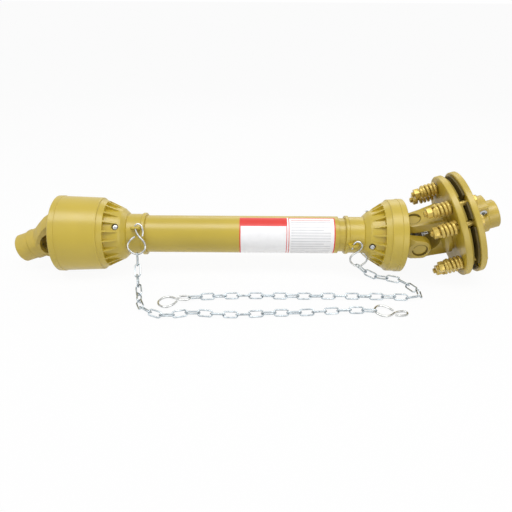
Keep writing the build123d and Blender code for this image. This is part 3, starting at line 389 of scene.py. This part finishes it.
def gold_coat():
    # glossy yellow coat on the springs and fasteners
    material, tree, shader = start_material("gold_zinc")
    if tree is None:
        return material
    base = bpy.context.scene.shaft_finish.gold
    tint = ramp(tree, object_noise(tree, 70, 3), [(0.3, shade(base, 0.88)), (0.7, shade(base, 1.08))])
    tree.links.new(tint, shader.inputs["Base Color"])
    shader.inputs["Metallic"].default_value = 0.35
    rough = ramp(tree, object_noise(tree, 150, 2), [(0.3, grey(0.22)), (0.75, grey(0.32))])
    tree.links.new(rough, shader.inputs["Roughness"])
    normal = bump(tree, object_noise(tree, 160, 2), 0.06, 0.0003, rounded_edges(tree, 0.0004))
    tree.links.new(normal, shader.inputs["Normal"])
    return material


def bright_zinc(name="bright_zinc", base=None):
    # bright plating, clouded by handling
    material, tree, shader = start_material(name)
    if tree is None:
        return material
    if base is None:
        base = bpy.context.scene.shaft_finish.zinc
    tint = ramp(
        tree, object_noise(tree, 160, 4),
        [(0.3, shade(base, 0.62)), (0.5, shade(base, 1.0)), (0.72, shade(base, 1.45))],
    )
    tree.links.new(tint, shader.inputs["Base Color"])
    shader.inputs["Metallic"].default_value = 1.0
    rough = ramp(tree, object_noise(tree, 300, 3), [(0.3, grey(0.16)), (0.75, grey(0.34))])
    tree.links.new(rough, shader.inputs["Roughness"])
    normal = bump(tree, object_noise(tree, 500, 3), 0.10, 0.0002)
    tree.links.new(normal, shader.inputs["Normal"])
    return material


def plain_steel(name, tone, rough_low, rough_high, stretch=(1, 1, 1)):
    # turned, drawn or ground steel; stretch draws the marks out along the part
    material, tree, shader = start_material(name)
    if tree is None:
        return material
    marks = object_noise(tree, 260, 5, 0.6, stretch)
    tint = ramp(tree, marks, [(0.3, shade(tone, 0.72)), (0.7, shade(tone, 1.18))])
    tree.links.new(tint, shader.inputs["Base Color"])
    shader.inputs["Metallic"].default_value = 1.0
    rough = ramp(tree, marks, [(0.3, grey(rough_low)), (0.7, grey(rough_high))])
    tree.links.new(rough, shader.inputs["Roughness"])
    tree.links.new(bump(tree, marks, 0.2, 0.0002, rounded_edges(tree, 0.0004)), shader.inputs["Normal"])
    return material


def friction_lining(name, cover):
    # pressed lining: dark binder with brassy specks, under a share of the paint's spray
    material, tree, shader = start_material(name)
    if tree is None:
        return material
    finish = bpy.context.scene.shaft_finish
    base = finish.lining
    specks = ramp(tree, object_noise(tree, 900, 2), [(0.60, grey(0)), (0.72, grey(0.8))])
    cloud = ramp(tree, object_noise(tree, 60, 4), [(0.3, shade(base, 0.7)), (0.7, shade(base, 1.9))])
    bare = mix_colors(tree, specks, cloud, (0.16, 0.11, 0.05, 1))
    thin_cover = max(0.0, cover - 0.25)
    spray = ramp(tree, object_noise(tree, 45, 5, 0.6), [(0.3, grey(thin_cover)), (0.7, grey(cover))])
    tree.links.new(mix_colors(tree, spray, bare, shade(finish.paint, 0.8)), shader.inputs["Base Color"])
    shader.inputs["Roughness"].default_value = 0.65
    tree.links.new(bump(tree, object_noise(tree, 700, 3), 0.4, 0.0003), shader.inputs["Normal"])
    return material


def recess_painted_shadow():
    # painted shadow: a dark plastic colour that stands in for the shade deep in the screws' recesses
    material, tree, shader = start_material("recess_painted_shadow")
    if tree is None:
        return material
    tone = ramp(
        tree, object_noise(tree, 300, 3),
        [(0.3, (0.035, 0.026, 0.006, 1)), (0.7, (0.085, 0.063, 0.012, 1))],
    )
    tree.links.new(tone, shader.inputs["Base Color"])
    shader.inputs["Roughness"].default_value = 0.8
    return material


def white_plastic():
    # the bearing rings' natural plastic
    material, tree, shader = start_material("bearing_plastic")
    if tree is None:
        return material
    tone = ramp(tree, object_noise(tree, 40, 3), [(0.3, grey(0.62)), (0.7, grey(0.74))])
    tree.links.new(tone, shader.inputs["Base Color"])
    shader.inputs["Roughness"].default_value = 0.45
    tree.links.new(bump(tree, object_noise(tree, 400, 2), 0.1, 0.0002), shader.inputs["Normal"])
    return material


def bushing_bronze():
    # turned bearing bronze
    material, tree, shader = start_material("bushing_bronze")
    if tree is None:
        return material
    marks = object_noise(tree, 300, 4)
    tint = ramp(tree, marks, [(0.3, (0.42, 0.25, 0.09, 1)), (0.7, (0.62, 0.40, 0.16, 1))])
    tree.links.new(tint, shader.inputs["Base Color"])
    shader.inputs["Metallic"].default_value = 1.0
    shader.inputs["Roughness"].default_value = 0.35
    tree.links.new(bump(tree, marks, 0.15, 0.0002), shader.inputs["Normal"])
    return material


def label_vinyl(name, color):
    # printed vinyl: a thin gloss film with slight waves where it follows the tube
    material, tree, shader = start_material(name)
    if tree is None:
        return material
    tone = ramp(tree, object_noise(tree, 80, 3), [(0.3, shade(color, 0.97)), (0.7, shade(color, 1.02))])
    tree.links.new(tone, shader.inputs["Base Color"])
    shader.inputs["Roughness"].default_value = 0.3
    tree.links.new(bump(tree, object_noise(tree, 45, 2), 0.08, 0.0006), shader.inputs["Normal"])
    return material


def ray_share(tree, *rays):
    # 1 for the kinds of ray that are named, 0 for the others
    path = tree.nodes.new("ShaderNodeLightPath")
    share = path.outputs[rays[0]]
    for ray in rays[1:]:
        larger = tree.nodes.new("ShaderNodeMath")
        larger.operation = "MAXIMUM"
        tree.links.new(share, larger.inputs[0])
        tree.links.new(path.outputs[ray], larger.inputs[1])
        share = larger.outputs[0]
    return share


# Mesh pieces
def make_piece(name, bm, materials, body, sharp, replaced=()):
    mesh = bpy.data.meshes.new(name)
    bmesh.ops.recalc_face_normals(bm, faces=bm.faces[:])
    bm.to_mesh(mesh)
    bm.free()
    for material in materials:
        mesh.materials.append(material)
    mesh.shade_smooth()
    mesh.set_sharp_from_angle(angle=math.radians(sharp))
    piece = bpy.data.objects.new(name, mesh)
    bpy.context.scene.collection.objects.link(piece)
    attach(piece, body)
    if replaced:
        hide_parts(*replaced)


def add_to(bm, part, place):
    # merges a part's doubles, puts it in its place and adds it to the piece
    bmesh.ops.remove_doubles(part, verts=part.verts[:], dist=1e-6)
    bmesh.ops.transform(part, matrix=place, verts=part.verts[:])
    mesh = bpy.data.meshes.new("part")
    part.to_mesh(mesh)
    part.free()
    bm.from_mesh(mesh)
    bpy.data.meshes.remove(mesh)


def turned(profile, steps=32):
    # a list of (radius, height) in millimetres spun about Z
    part = bmesh.new()
    corners = [part.verts.new((radius * MM, 0, height * MM)) for radius, height in profile]
    edges = [part.edges.new(pair) for pair in zip(corners, corners[1:])]
    bmesh.ops.spin(
        part, geom=corners + edges, cent=(0, 0, 0), axis=(0, 0, 1), angle=2 * math.pi, steps=steps,
        use_merge=True,
    )
    return part


def wire_section(part, middle, facing, radius, sides):
    # the round end of a wire; facing turns it out of the XY plane
    made = bmesh.ops.create_circle(
        part, segments=sides, radius=radius, matrix=Matrix.Translation(middle) @ facing,
    )
    return list({edge for corner in made["verts"] for edge in corner.link_edges})


def swing(part, edges, centre, axis, angle, steps, rise=(0, 0, 0)):
    # spins a wire's end round a bend and gives back its new end
    corners = list({corner for edge in edges for corner in edge.verts})
    made = bmesh.ops.spin(
        part, geom=corners + edges, cent=centre, axis=axis, angle=angle, steps=steps, dvec=rise,
    )
    return [item for item in made["geom_last"] if isinstance(item, bmesh.types.BMEdge)]


def push(part, edges, offset):
    # draws a wire's end out straight and gives back its new end
    made = bmesh.ops.extrude_edge_only(part, edges=edges)
    corners = {item for item in made["geom"] if isinstance(item, bmesh.types.BMVert)}
    bmesh.ops.translate(part, vec=offset, verts=list(corners))
    return [
        item for item in made["geom"]
        if isinstance(item, bmesh.types.BMEdge) and all(corner in corners for corner in item.verts)
    ]


def hexagon(height):
    # a hexagon head or nut with its corners turned down at both ends
    part = bmesh.new()
    corner_radius = ACROSS_FLATS / 2 / math.cos(math.pi / 6) * MM
    bmesh.ops.create_cone(
        part, cap_ends=True, segments=6, depth=height * MM, radius1=corner_radius, radius2=corner_radius,
        matrix=Matrix.Translation((0, 0, height / 2 * MM)),
    )
    bmesh.ops.bevel(
        part, geom=part.verts[:], offset=HEXAGON_CROWN * MM, offset_type="OFFSET", segments=1, profile=0.5,
        affect="VERTICES", material=-1,
    )
    bmesh.ops.bevel(
        part, geom=part.edges[:], offset=HEXAGON_EDGE * MM, offset_type="OFFSET", segments=2, profile=0.5,
        affect="EDGES", material=-1,
    )
    return part


def linked_verts(start):
    found, waiting = {start}, [start]
    while waiting:
        for edge in waiting.pop().link_edges:
            for corner in edge.verts:
                if corner not in found:
                    found.add(corner)
                    waiting.append(corner)
    return found


def separate_solids(node):
    # the corners of each loose solid of a CAD node
    bm = bmesh.new()
    bm.from_mesh(frame["nodes"][node].data)
    bmesh.ops.remove_doubles(bm, verts=bm.verts[:], dist=1e-6)
    solids, seen = [], set()
    for corner in bm.verts:
        if corner not in seen:
            found = linked_verts(corner)
            seen |= found
            solids.append([other.co.copy() for other in found])
    bm.free()
    return solids


def middle_of(corners):
    low = Vector(min(corner[axis] for corner in corners) for axis in range(3))
    high = Vector(max(corner[axis] for corner in corners) for axis in range(3))
    return (low + high) / 2


def scaled_to_one(matrix):
    return matrix * (1 / sum(matrix[axis][axis] for axis in range(3)))


def strongest_direction(matrix):
    # squaring leaves the direction in which the matrix stretches most
    for _ in range(6):
        matrix = scaled_to_one(matrix)
        matrix = matrix @ matrix
    return max((matrix.col[axis] for axis in range(3)), key=lambda column: column.length).normalized()


def main_directions(corners):
    # the middle, the long and the thin direction of a flat solid
    centre = sum(corners, Vector()) / len(corners)
    spread = Matrix(((0, 0, 0), (0, 0, 0), (0, 0, 0)))
    for corner in corners:
        offset = corner - centre
        for row in range(3):
            for column in range(3):
                spread[row][column] += offset[row] * offset[column]
    spread = scaled_to_one(spread)
    inverse = (spread + Matrix.Identity(3) * 1e-6).inverted()
    return centre, strongest_direction(spread), strongest_direction(inverse)


class SHAFT_OT_finishes(bpy.types.Operator):
    """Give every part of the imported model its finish"""

    bl_idname = "shaft.finishes"
    bl_label = "Finish the Packed Parts"

    def execute(self, context):
        finishes = {
            "guard_plastic": guard_plastic(),
            "yellow_paint": cast_paint(),
            "gold_zinc": gold_coat(),
            "bright_zinc": bright_zinc(),
            "bare_steel": plain_steel("bare_steel", (0.42, 0.42, 0.43), 0.25, 0.42),
            "tube_steel": plain_steel("tube_steel", (0.30, 0.30, 0.31), 0.35, 0.55, (0.05, 1, 1)),
            "spring_steel": plain_steel("spring_steel", (0.20, 0.19, 0.19), 0.30, 0.45),
            "friction_lining": friction_lining("friction_lining", 0.35),
            "bearing_plastic": white_plastic(),
            "bushing_bronze": bushing_bronze(),
        }
        slots = {part["node"]: part["material_slot"] for part in frame["record"]["subparts"]}
        for name, node in frame["nodes"].items():
            finish = finishes[slots[name]]
            if "cups" in name:
                finish = finishes["yellow_paint"]
            elif "circlips" in name:
                # circlips: sprayed steel, darkened past its own colour as painted shade for the recess round each
                # bearing cap
                finish = plain_steel("sprayed_clip_painted_shade", (0.20, 0.15, 0.04), 0.40, 0.60)
            elif name == "friction_disc_yoke_side":
                finish = friction_lining("sprayed_lining", 0.85)
            node.data.materials.clear()
            node.data.materials.append(finish)
        return {"FINISHED"}


class SHAFT_OT_clutch_springs(bpy.types.Operator):
    """Wind the eight clutch springs with closed ends"""

    bl_idname = "shaft.clutch_springs"
    bl_label = "Clutch Springs"

    def execute(self, context):
        bm = bmesh.new()
        for order, angle in enumerate(BOLT_ANGLES):
            turn = Matrix.Rotation(SPRING_STAGGER * order, 4, "Z")
            add_to(bm, self.wind(context.scene.shaft_sizes), bolt_place(angle, SPRING_START) @ turn)
        make_piece(
            "clutch_springs_wound", bm, [gold_coat()], "clutch", sharp=60,
            replaced=["clutch_springs"],
        )
        return {"FINISHED"}

    def wind(self, sizes):
        wire = sizes.spring_wire
        # the wire's middle in the end coils, just clear of what they press on
        clear = wire * 0.51
        closed = round(CLOSED_TURNS * SPRING_STEPS)
        active = round(sizes.spring_turns * SPRING_STEPS) - 2 * closed
        travel = (SPRING_END - SPRING_START) * MM - 2 * clear
        rise = travel / (active + 2 * closed * CLOSED_COIL_RISE)
        part = bmesh.new()
        upright = Matrix.Rotation(math.pi / 2, 4, "X")
        end = wire_section(part, (SPRING_RADIUS * MM, 0, clear), upright, wire / 2, SPRING_SIDES)
        bmesh.ops.edgeloop_fill(part, edges=end)
        for count, share in ((closed, CLOSED_COIL_RISE), (active, 1.0), (closed, CLOSED_COIL_RISE)):
            angle = 2 * math.pi * count / SPRING_STEPS
            end = swing(part, end, (0, 0, 0), (0, 0, 1), angle, count, (0, 0, rise * share))
        bmesh.ops.edgeloop_fill(part, edges=end)
        for corner in part.verts:
            fade = max(0.0, 1 - corner.co.z / (TAPERED_SHARE * travel))
            corner.co.xy *= 1 - SPRING_TAPER * fade ** 1.5
        return part


class SHAFT_OT_clutch_bolts(bpy.types.Operator):
    """Make the clutch bolts with threads and crowned heads, and their nuts"""

    bl_idname = "shaft.clutch_bolts"
    bl_label = "Clutch Bolts"

    def execute(self, context):
        pitch = context.scene.shaft_sizes.thread_pitch / MM
        bolts = bmesh.new()
        nuts = bmesh.new()
        profile = self.threaded_profile(pitch)
        for angle in BOLT_ANGLES:
            add_to(bolts, turned(profile, BOLT_STEPS), bolt_place(angle, 0))
            add_to(bolts, hexagon(BOLT_HEAD), bolt_place(angle, PLATE_END))
            add_to(nuts, hexagon(NUT_HEIGHT), bolt_place(angle, NUT_FACE))
        for name, bm, node in (
            ("clutch_bolts_threaded", bolts, "clutch_bolts"),
            ("clutch_nuts_crowned", nuts, "clutch_nuts"),
        ):
            make_piece(name, bm, [gold_coat()], "clutch", sharp=32, replaced=[node])
        return {"FINISHED"}

    def threaded_profile(self, pitch):
        # radius and height of a bolt from its tip to the underside of its head
        profile = [
            (0, BOLT_TIP), (BOLT_RADIUS - TIP_BEVEL_WIDTH, BOLT_TIP),
            (BOLT_RADIUS - THREAD_START, BOLT_TIP + TIP_BEVEL_HEIGHT),
        ]
        height = BOLT_TIP + THREAD_START
        while height < SPRING_START + THREAD_UNDER_SPRING:
            profile.append((BOLT_RADIUS, height))
            profile.append((BOLT_RADIUS - THREAD_DEPTH, height + pitch / 2))
            height += pitch
        profile.append((BOLT_RADIUS - SHANK_CLEARANCE, height))
        profile.append((BOLT_RADIUS - SHANK_CLEARANCE, PLATE_END))
        return profile


class SHAFT_OT_chains(bpy.types.Operator):
    """Bend the chain links from round wire, each in its packed place"""

    bl_idname = "shaft.chains"
    bl_label = "Chains"

    def execute(self, context):
        wire = context.scene.shaft_sizes.link_wire
        for node, body in (("left_chain", "guard"), ("right_chain", "sliding_guard")):
            bm = bmesh.new()
            for corners in separate_solids(node):
                centre, ahead, thin = main_directions(corners)
                places = [(centre, ahead, thin)]
                if max((corner - centre).length for corner in corners) > LINK_PITCH * MM:
                    places = [
                        (Vector(middle) * MM, long_way, upright) for middle, long_way, upright in TURN_LINKS
                    ]
                for place in places:
                    add_to(bm, self.bend_link(wire), placed(*place))
            finish = bright_zinc("chain_zinc", context.scene.shaft_finish.chain)
            make_piece(f"{node}_wire", bm, [finish], body, sharp=60, replaced=[node])
        return {"FINISHED"}

    def bend_link(self, wire):
        # four bends and four straights, back to the start
        half_length = ((LINK_PITCH + LINK_PLAY) / 2 + LINK_WIRE) * MM - wire / 2
        half_width = LINK_WIDTH * MM / 2 - wire / 2
        corner = half_width * LINK_CORNER_SHARE
        side, end = half_length - corner, half_width - corner
        part = bmesh.new()
        section = wire_section(
            part, (side, half_width, 0), Matrix.Rotation(math.pi / 2, 4, "Y"), wire / 2, LINK_SIDES,
        )
        for bend, straight in (
            ((side, end, 0), (0, -2 * end, 0)),
            ((side, -end, 0), (-2 * side, 0, 0)),
            ((-side, -end, 0), (0, 2 * end, 0)),
            ((-side, end, 0), (2 * side, 0, 0)),
        ):
            section = swing(part, section, bend, (0, 0, -1), math.pi / 2, LINK_BEND_STEPS)
            section = push(part, section, straight)
        return part


class SHAFT_OT_hooks(bpy.types.Operator):
    """Bend the four S-hooks from round wire"""

    bl_idname = "shaft.hooks"
    bl_label = "Hooks"

    def execute(self, context):
        for node, (x, angle, reach), lean_angle, route, body in (
            ("left_lug_hook", LEFT_LUG, LEFT_HOOK_LEAN, LEFT_HOOK, "guard"),
            ("right_lug_hook", RIGHT_LUG, 0.0, RIGHT_HOOK, "sliding_guard"),
        ):
            lean = math.radians(lean_angle)
            down = Vector((0, -math.sin(lean), -math.cos(lean)))
            turn = math.radians(angle)
            origin = shaft_middle + Vector((x, -reach * math.cos(turn), reach * math.sin(turn))) * MM
            self.bend(node, origin, Vector((1, 0, 0)), down, route, body)
        # the left one's large bend and the right one's small bend hold the chain
        for node, chain, heading, (right, low), way, body in (
            ("left_end_hook", "left_chain", LEFT_CHAIN_HEADING, LARGE_BEND, -1, "guard"),
            ("right_end_hook", "right_chain", RIGHT_CHAIN_HEADING, SMALL_BEND, 1, "sliding_guard"),
        ):
            turn = math.radians(heading)
            ahead = Vector((math.cos(turn), math.sin(turn), -END_HOOK_SLOPE)).normalized()
            sideways = ahead.cross(Vector((0, 0, 1))).normalized()
            links = [main_directions(corners) for corners in separate_solids(chain)]
            centre, long_way, _ = max(links, key=lambda link: link[0].dot(ahead))
            if long_way.dot(ahead) < 0:
                long_way = -long_way
            held = centre + long_way * (LINK_PITCH + LINK_PLAY - HOOK_WIRE) * MM / 2
            origin = held - (ahead * way * low + sideways * right) * MM
            self.bend(node, origin, sideways, ahead * way, LEFT_HOOK, body)
        return {"FINISHED"}

    def bend(self, node, origin, across, down, route, body):
        # a round wire along a smooth line through the route's points
        curve = bpy.data.curves.new(node, "CURVE")
        curve.dimensions = "3D"
        curve.bevel_depth = bpy.context.scene.shaft_sizes.hook_wire / 2
        curve.bevel_resolution = 4
        curve.resolution_u = 10
        curve.use_fill_caps = True
        line = curve.splines.new("BEZIER")
        line.bezier_points.add(len(route) - 1)
        for point, (right, low) in zip(line.bezier_points, route):
            point.co = origin + (across * right + down * low) * MM
            point.handle_left_type = point.handle_right_type = "AUTO"
        holder = bpy.data.objects.new(node, curve)
        bpy.context.scene.collection.objects.link(holder)
        bpy.context.view_layer.update()
        mesh = bpy.data.meshes.new_from_object(holder)
        bpy.data.objects.remove(holder)
        bm = bmesh.new()
        bm.from_mesh(mesh)
        bpy.data.meshes.remove(mesh)
        bmesh.ops.remove_doubles(bm, verts=bm.verts[:], dist=1e-6)
        make_piece(f"{node}_wire", bm, [bright_zinc()], body, sharp=60, replaced=[node])


class SHAFT_OT_guard_screws(bpy.types.Operator):
    """Make the cross-head screws that hold the guard cones to their bearings"""

    bl_idname = "shaft.guard_screws"
    bl_label = "Guard Screws"

    def execute(self, context):
        recess = recess_painted_shadow()
        for node, body in (("left_guard_screws", "guard"), ("right_guard_screws", "sliding_guard")):
            bm = bmesh.new()
            for corners in separate_solids(node):
                centre = middle_of(corners)
                outwards = Vector((0, centre.y - shaft_middle.y, centre.z - shaft_middle.z)).normalized()
                reach = max((corner - centre).dot(outwards) for corner in corners)
                place = placed(centre + outwards * reach, (1, 0, 0), outwards)
                add_to(bm, self.screw(), place @ Matrix.Rotation(SCREW_TURN, 4, "Z"))
                # a dark disc as painted shadow in each screw's recess
                add_to(bm, self.painted_recess_shadow_disc(), place)
            make_piece(
                f"{node}_cross_head", bm, [bright_zinc(), recess], body, sharp=28,
                replaced=[node],
            )
        return {"FINISHED"}

    def painted_recess_shadow_disc(self):
        # a dark disc of painted shadow on the floor of the screw's recess, set off centre so that it shows most at
        # its upper side
        part = bmesh.new()
        bmesh.ops.create_circle(
            part, cap_ends=True, segments=32, radius=SHADOW_DISC_RADIUS * MM,
            matrix=Matrix.Translation(Vector(SHADOW_DISC_MIDDLE) * MM),
        )
        for face in part.faces:
            face.material_index = 1
        return part

    def screw(self):
        # a low head just below the origin, its shank, and a cross cut into the head
        cutter = bmesh.new()
        for turn in (0, math.pi / 2):
            blade = Matrix.Diagonal((CROSS_LENGTH * MM, CROSS_WIDTH * MM, 2 * CROSS_DEPTH * MM, 1))
            bmesh.ops.create_cube(cutter, size=1, matrix=Matrix.Rotation(turn, 4, "Z") @ blade)
        body = self.holder("screw_body", turned(SCREW_PROFILE))
        cross = self.holder("screw_cross", cutter)
        cut = body.modifiers.new("cross", "BOOLEAN")
        cut.object, cut.operation, cut.solver, cut.use_self = cross, "DIFFERENCE", "EXACT", True
        bpy.context.view_layer.update()
        mesh = bpy.data.meshes.new_from_object(body.evaluated_get(bpy.context.evaluated_depsgraph_get()))
        for used in (body, cross):
            bpy.data.objects.remove(used)
        part = bmesh.new()
        part.from_mesh(mesh)
        bpy.data.meshes.remove(mesh)
        return part

    def holder(self, name, bm):
        mesh = bpy.data.meshes.new(name)
        bmesh.ops.remove_doubles(bm, verts=bm.verts[:], dist=1e-6)
        bmesh.ops.recalc_face_normals(bm, faces=bm.faces[:])
        bm.to_mesh(mesh)
        bm.free()
        made = bpy.data.objects.new(name, mesh)
        bpy.context.scene.collection.objects.link(made)
        return made


class SHAFT_OT_label(bpy.types.Operator):
    """Wrap the two plain label panels round the guard tube"""

    bl_idname = "shaft.label"
    bl_label = "Label"

    def execute(self, context):
        sizes = context.scene.shaft_sizes
        finish = context.scene.shaft_finish
        start, length = sizes.label_start, sizes.label_length
        split = start + length * LEFT_PANEL_SHARE
        end = start + length
        top, bottom = LABEL_TOP, LABEL_BOTTOM
        border, thin = BORDER * MM, THIN_BORDER * MM
        field_top = top - math.degrees(BORDER / TUBE_RADIUS)
        bm = bmesh.new()
        red, white, grey_rule, red_rule = 0, 1, 2, 3
        # left panel: red header over a plain white field
        self.add_patch(bm, start, split, HEADER_BOTTOM, top, red)
        self.add_patch(bm, start, start + border, bottom, HEADER_BOTTOM, red)
        self.add_patch(bm, split - thin, split, bottom, HEADER_BOTTOM, red)
        self.add_patch(bm, start + border, split - thin, bottom, HEADER_BOTTOM, white)
        # right panel: white field with ruled lines inside a red border
        left = split + PANEL_GAP * MM
        self.add_patch(bm, split, left, bottom, top, white)
        self.add_patch(bm, left, end, field_top, top, red)
        self.add_patch(bm, left, left + thin, bottom, field_top, red)
        self.add_patch(bm, end - border, end, bottom, field_top, red)
        self.add_patch(bm, left + thin, end - border, bottom, field_top, white)
        for row in range(RULES):
            upper = field_top - RULES_TOP_MARGIN - RULE_PITCH * row
            lower = upper - math.degrees(RULE_HEIGHT / TUBE_RADIUS)
            right = end - border - RULES_RIGHT_MARGIN * MM
            if row % 5 == 4:
                right -= SHORT_RULE_LOSS * MM
            rule = red_rule if row == 0 else grey_rule
            self.add_patch(bm, left + RULES_LEFT_MARGIN * MM, right, lower, upper, rule, RULE_LIFT)
        materials = [
            label_vinyl("label_red", finish.label_red),
            label_vinyl("label_white", (0.93, 0.93, 0.94)),
            label_vinyl("label_rule", (0.66, 0.66, 0.68)),
            label_vinyl("label_rule_red", (0.78, 0.36, 0.34)),
        ]
        make_piece("guard_label", bm, materials, "guard", sharp=40)
        return {"FINISHED"}

    def add_patch(self, bm, left, right, low, high, material, lift=0.0):
        # an edge along the tube, spun round it from low to high, in degrees
        radius = (TUBE_RADIUS + LABEL_LIFT + lift) * MM
        turn = math.radians(low)
        part = bmesh.new()
        edge = [
            part.verts.new((x, -radius * math.cos(turn), radius * math.sin(turn))) for x in (left, right)
        ]
        bmesh.ops.spin(
            part, geom=[*edge, part.edges.new(edge)], cent=(0, 0, 0), axis=(-1, 0, 0),
            angle=math.radians(high - low), steps=max(1, int((high - low) / PATCH_STEP)),
        )
        for face in part.faces:
            face.material_index = material
        add_to(bm, part, Matrix.Translation((0, shaft_middle.y, shaft_middle.z)))


class SHAFT_OT_stage(bpy.types.Operator):
    """Set the pale floor, the soft lights and the camera"""

    bl_idname = "shaft.stage"
    bl_label = "Stage"

    def execute(self, context):
        self.make_floor()
        self.make_world(context.scene)
        self.make_lights(context.scene)
        self.make_camera(context.scene)
        context.scene.view_settings.view_transform = "Standard"
        return {"FINISHED"}

    def make_floor(self):
        bm = bmesh.new()
        bmesh.ops.create_grid(bm, x_segments=1, y_segments=1, size=FLOOR_SIZE)
        mesh = bpy.data.meshes.new("floor")
        bm.to_mesh(mesh)
        bm.free()
        floor = bpy.data.objects.new("floor", mesh)
        bpy.context.scene.collection.objects.link(floor)
        material, tree, shader = start_material("floor_white")
        if tree is not None:
            tone = ramp(tree, object_noise(tree, 0.4, 2), [(0.3, grey(0.80)), (0.7, grey(0.84))])
            tree.links.new(tone, shader.inputs["Base Color"])
            shader.inputs["Roughness"].default_value = 0.9
            glow = tree.nodes.new("ShaderNodeEmission")
            glow.inputs["Color"].default_value = (1, 1, 1, 1)
            amount = tree.nodes.new("ShaderNodeMath")
            amount.operation = "MULTIPLY"
            amount.inputs[1].default_value = FLOOR_GLOW
            tree.links.new(ray_share(tree, "Is Camera Ray", "Is Glossy Ray"), amount.inputs[0])
            blend = tree.nodes.new("ShaderNodeMixShader")
            tree.links.new(amount.outputs[0], blend.inputs[0])
            tree.links.new(shader.outputs[0], blend.inputs[1])
            tree.links.new(glow.outputs[0], blend.inputs[2])
            tree.links.new(blend.outputs[0], tree.nodes["Material Output"].inputs["Surface"])
        mesh.materials.append(material)

    def make_world(self, scene):
        world = bpy.data.worlds.new("studio")
        scene.world = world
        world.use_nodes = True
        tree = world.node_tree
        sky = tree.nodes["Background"]
        sky.inputs["Color"].default_value = (1, 1, 1, 1)
        share = ray_share(tree, "Is Camera Ray", "Is Glossy Ray", "Is Transmission Ray")
        strength = tree.nodes.new("ShaderNodeMapRange")
        strength.inputs["To Min"].default_value = SKY_LIGHT
        strength.inputs["To Max"].default_value = 1.0
        tree.links.new(share, strength.inputs["Value"])
        tree.links.new(strength.outputs[0], sky.inputs["Strength"])

    def make_lights(self, scene):
        power = scene.shaft_sizes.light
        for name, place, width, height, share in LAMPS:
            light = bpy.data.lights.new(name, "AREA")
            light.shape = "RECTANGLE"
            light.size, light.size_y = width, height
            light.energy = power * share
            lamp = bpy.data.objects.new(name, light)
            lamp.location = place
            lamp.rotation_mode = "QUATERNION"
            lamp.rotation_quaternion = (Vector(LIT_POINT) - Vector(place)).to_track_quat("-Z", "Y")
            scene.collection.objects.link(lamp)

    def make_camera(self, scene):
        data = bpy.data.cameras.new("camera")
        data.sensor_width = SENSOR_WIDTH
        data.lens = SENSOR_WIDTH * FOCAL_PIXELS / IMAGE_PIXELS
        data.clip_start, data.clip_end = 0.01, 200
        camera = bpy.data.objects.new("camera", data)
        camera.location = shaft_middle + Vector(CAMERA_PLACE)
        tilt = Matrix.Rotation(math.radians(CAMERA_TILT), 4, "X")
        roll = Matrix.Rotation(math.radians(CAMERA_ROLL), 4, "Z")
        camera.rotation_mode = "QUATERNION"
        camera.rotation_quaternion = (tilt @ roll).to_quaternion()
        scene.collection.objects.link(camera)
        scene.camera = camera


class SHAFT_PT_panel(bpy.types.Panel):
    """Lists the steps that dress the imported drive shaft"""

    bl_label = "Drive Shaft"
    bl_idname = "SHAFT_PT_panel"
    bl_space_type = "VIEW_3D"
    bl_region_type = "UI"
    bl_category = "Drive shaft"

    def draw(self, context):
        layout = self.layout
        for group in (context.scene.shaft_finish, context.scene.shaft_sizes):
            for name in group.__annotations__:
                layout.prop(group, name)
        for step in STEPS:
            layout.operator(step.bl_idname)


STEPS = (
    SHAFT_OT_finishes,
    SHAFT_OT_clutch_springs,
    SHAFT_OT_clutch_bolts,
    SHAFT_OT_chains,
    SHAFT_OT_hooks,
    SHAFT_OT_guard_screws,
    SHAFT_OT_label,
    SHAFT_OT_stage,
)
CLASSES = (ShaftFinish, ShaftSizes, *STEPS, SHAFT_PT_panel)


def register():
    for item in CLASSES:
        bpy.utils.register_class(item)
    bpy.types.Scene.shaft_finish = bpy.props.PointerProperty(type=ShaftFinish)
    bpy.types.Scene.shaft_sizes = bpy.props.PointerProperty(type=ShaftSizes)


def unregister():
    del bpy.types.Scene.shaft_sizes
    del bpy.types.Scene.shaft_finish
    for item in reversed(CLASSES):
        bpy.utils.unregister_class(item)


def main():
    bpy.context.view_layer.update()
    register()
    bpy.ops.shaft.finishes()
    bpy.ops.shaft.clutch_springs()
    bpy.ops.shaft.clutch_bolts()
    bpy.ops.shaft.chains()
    bpy.ops.shaft.hooks()
    bpy.ops.shaft.guard_screws()
    bpy.ops.shaft.label()
    bpy.ops.shaft.stage()


if __name__ == "__main__":
    main()
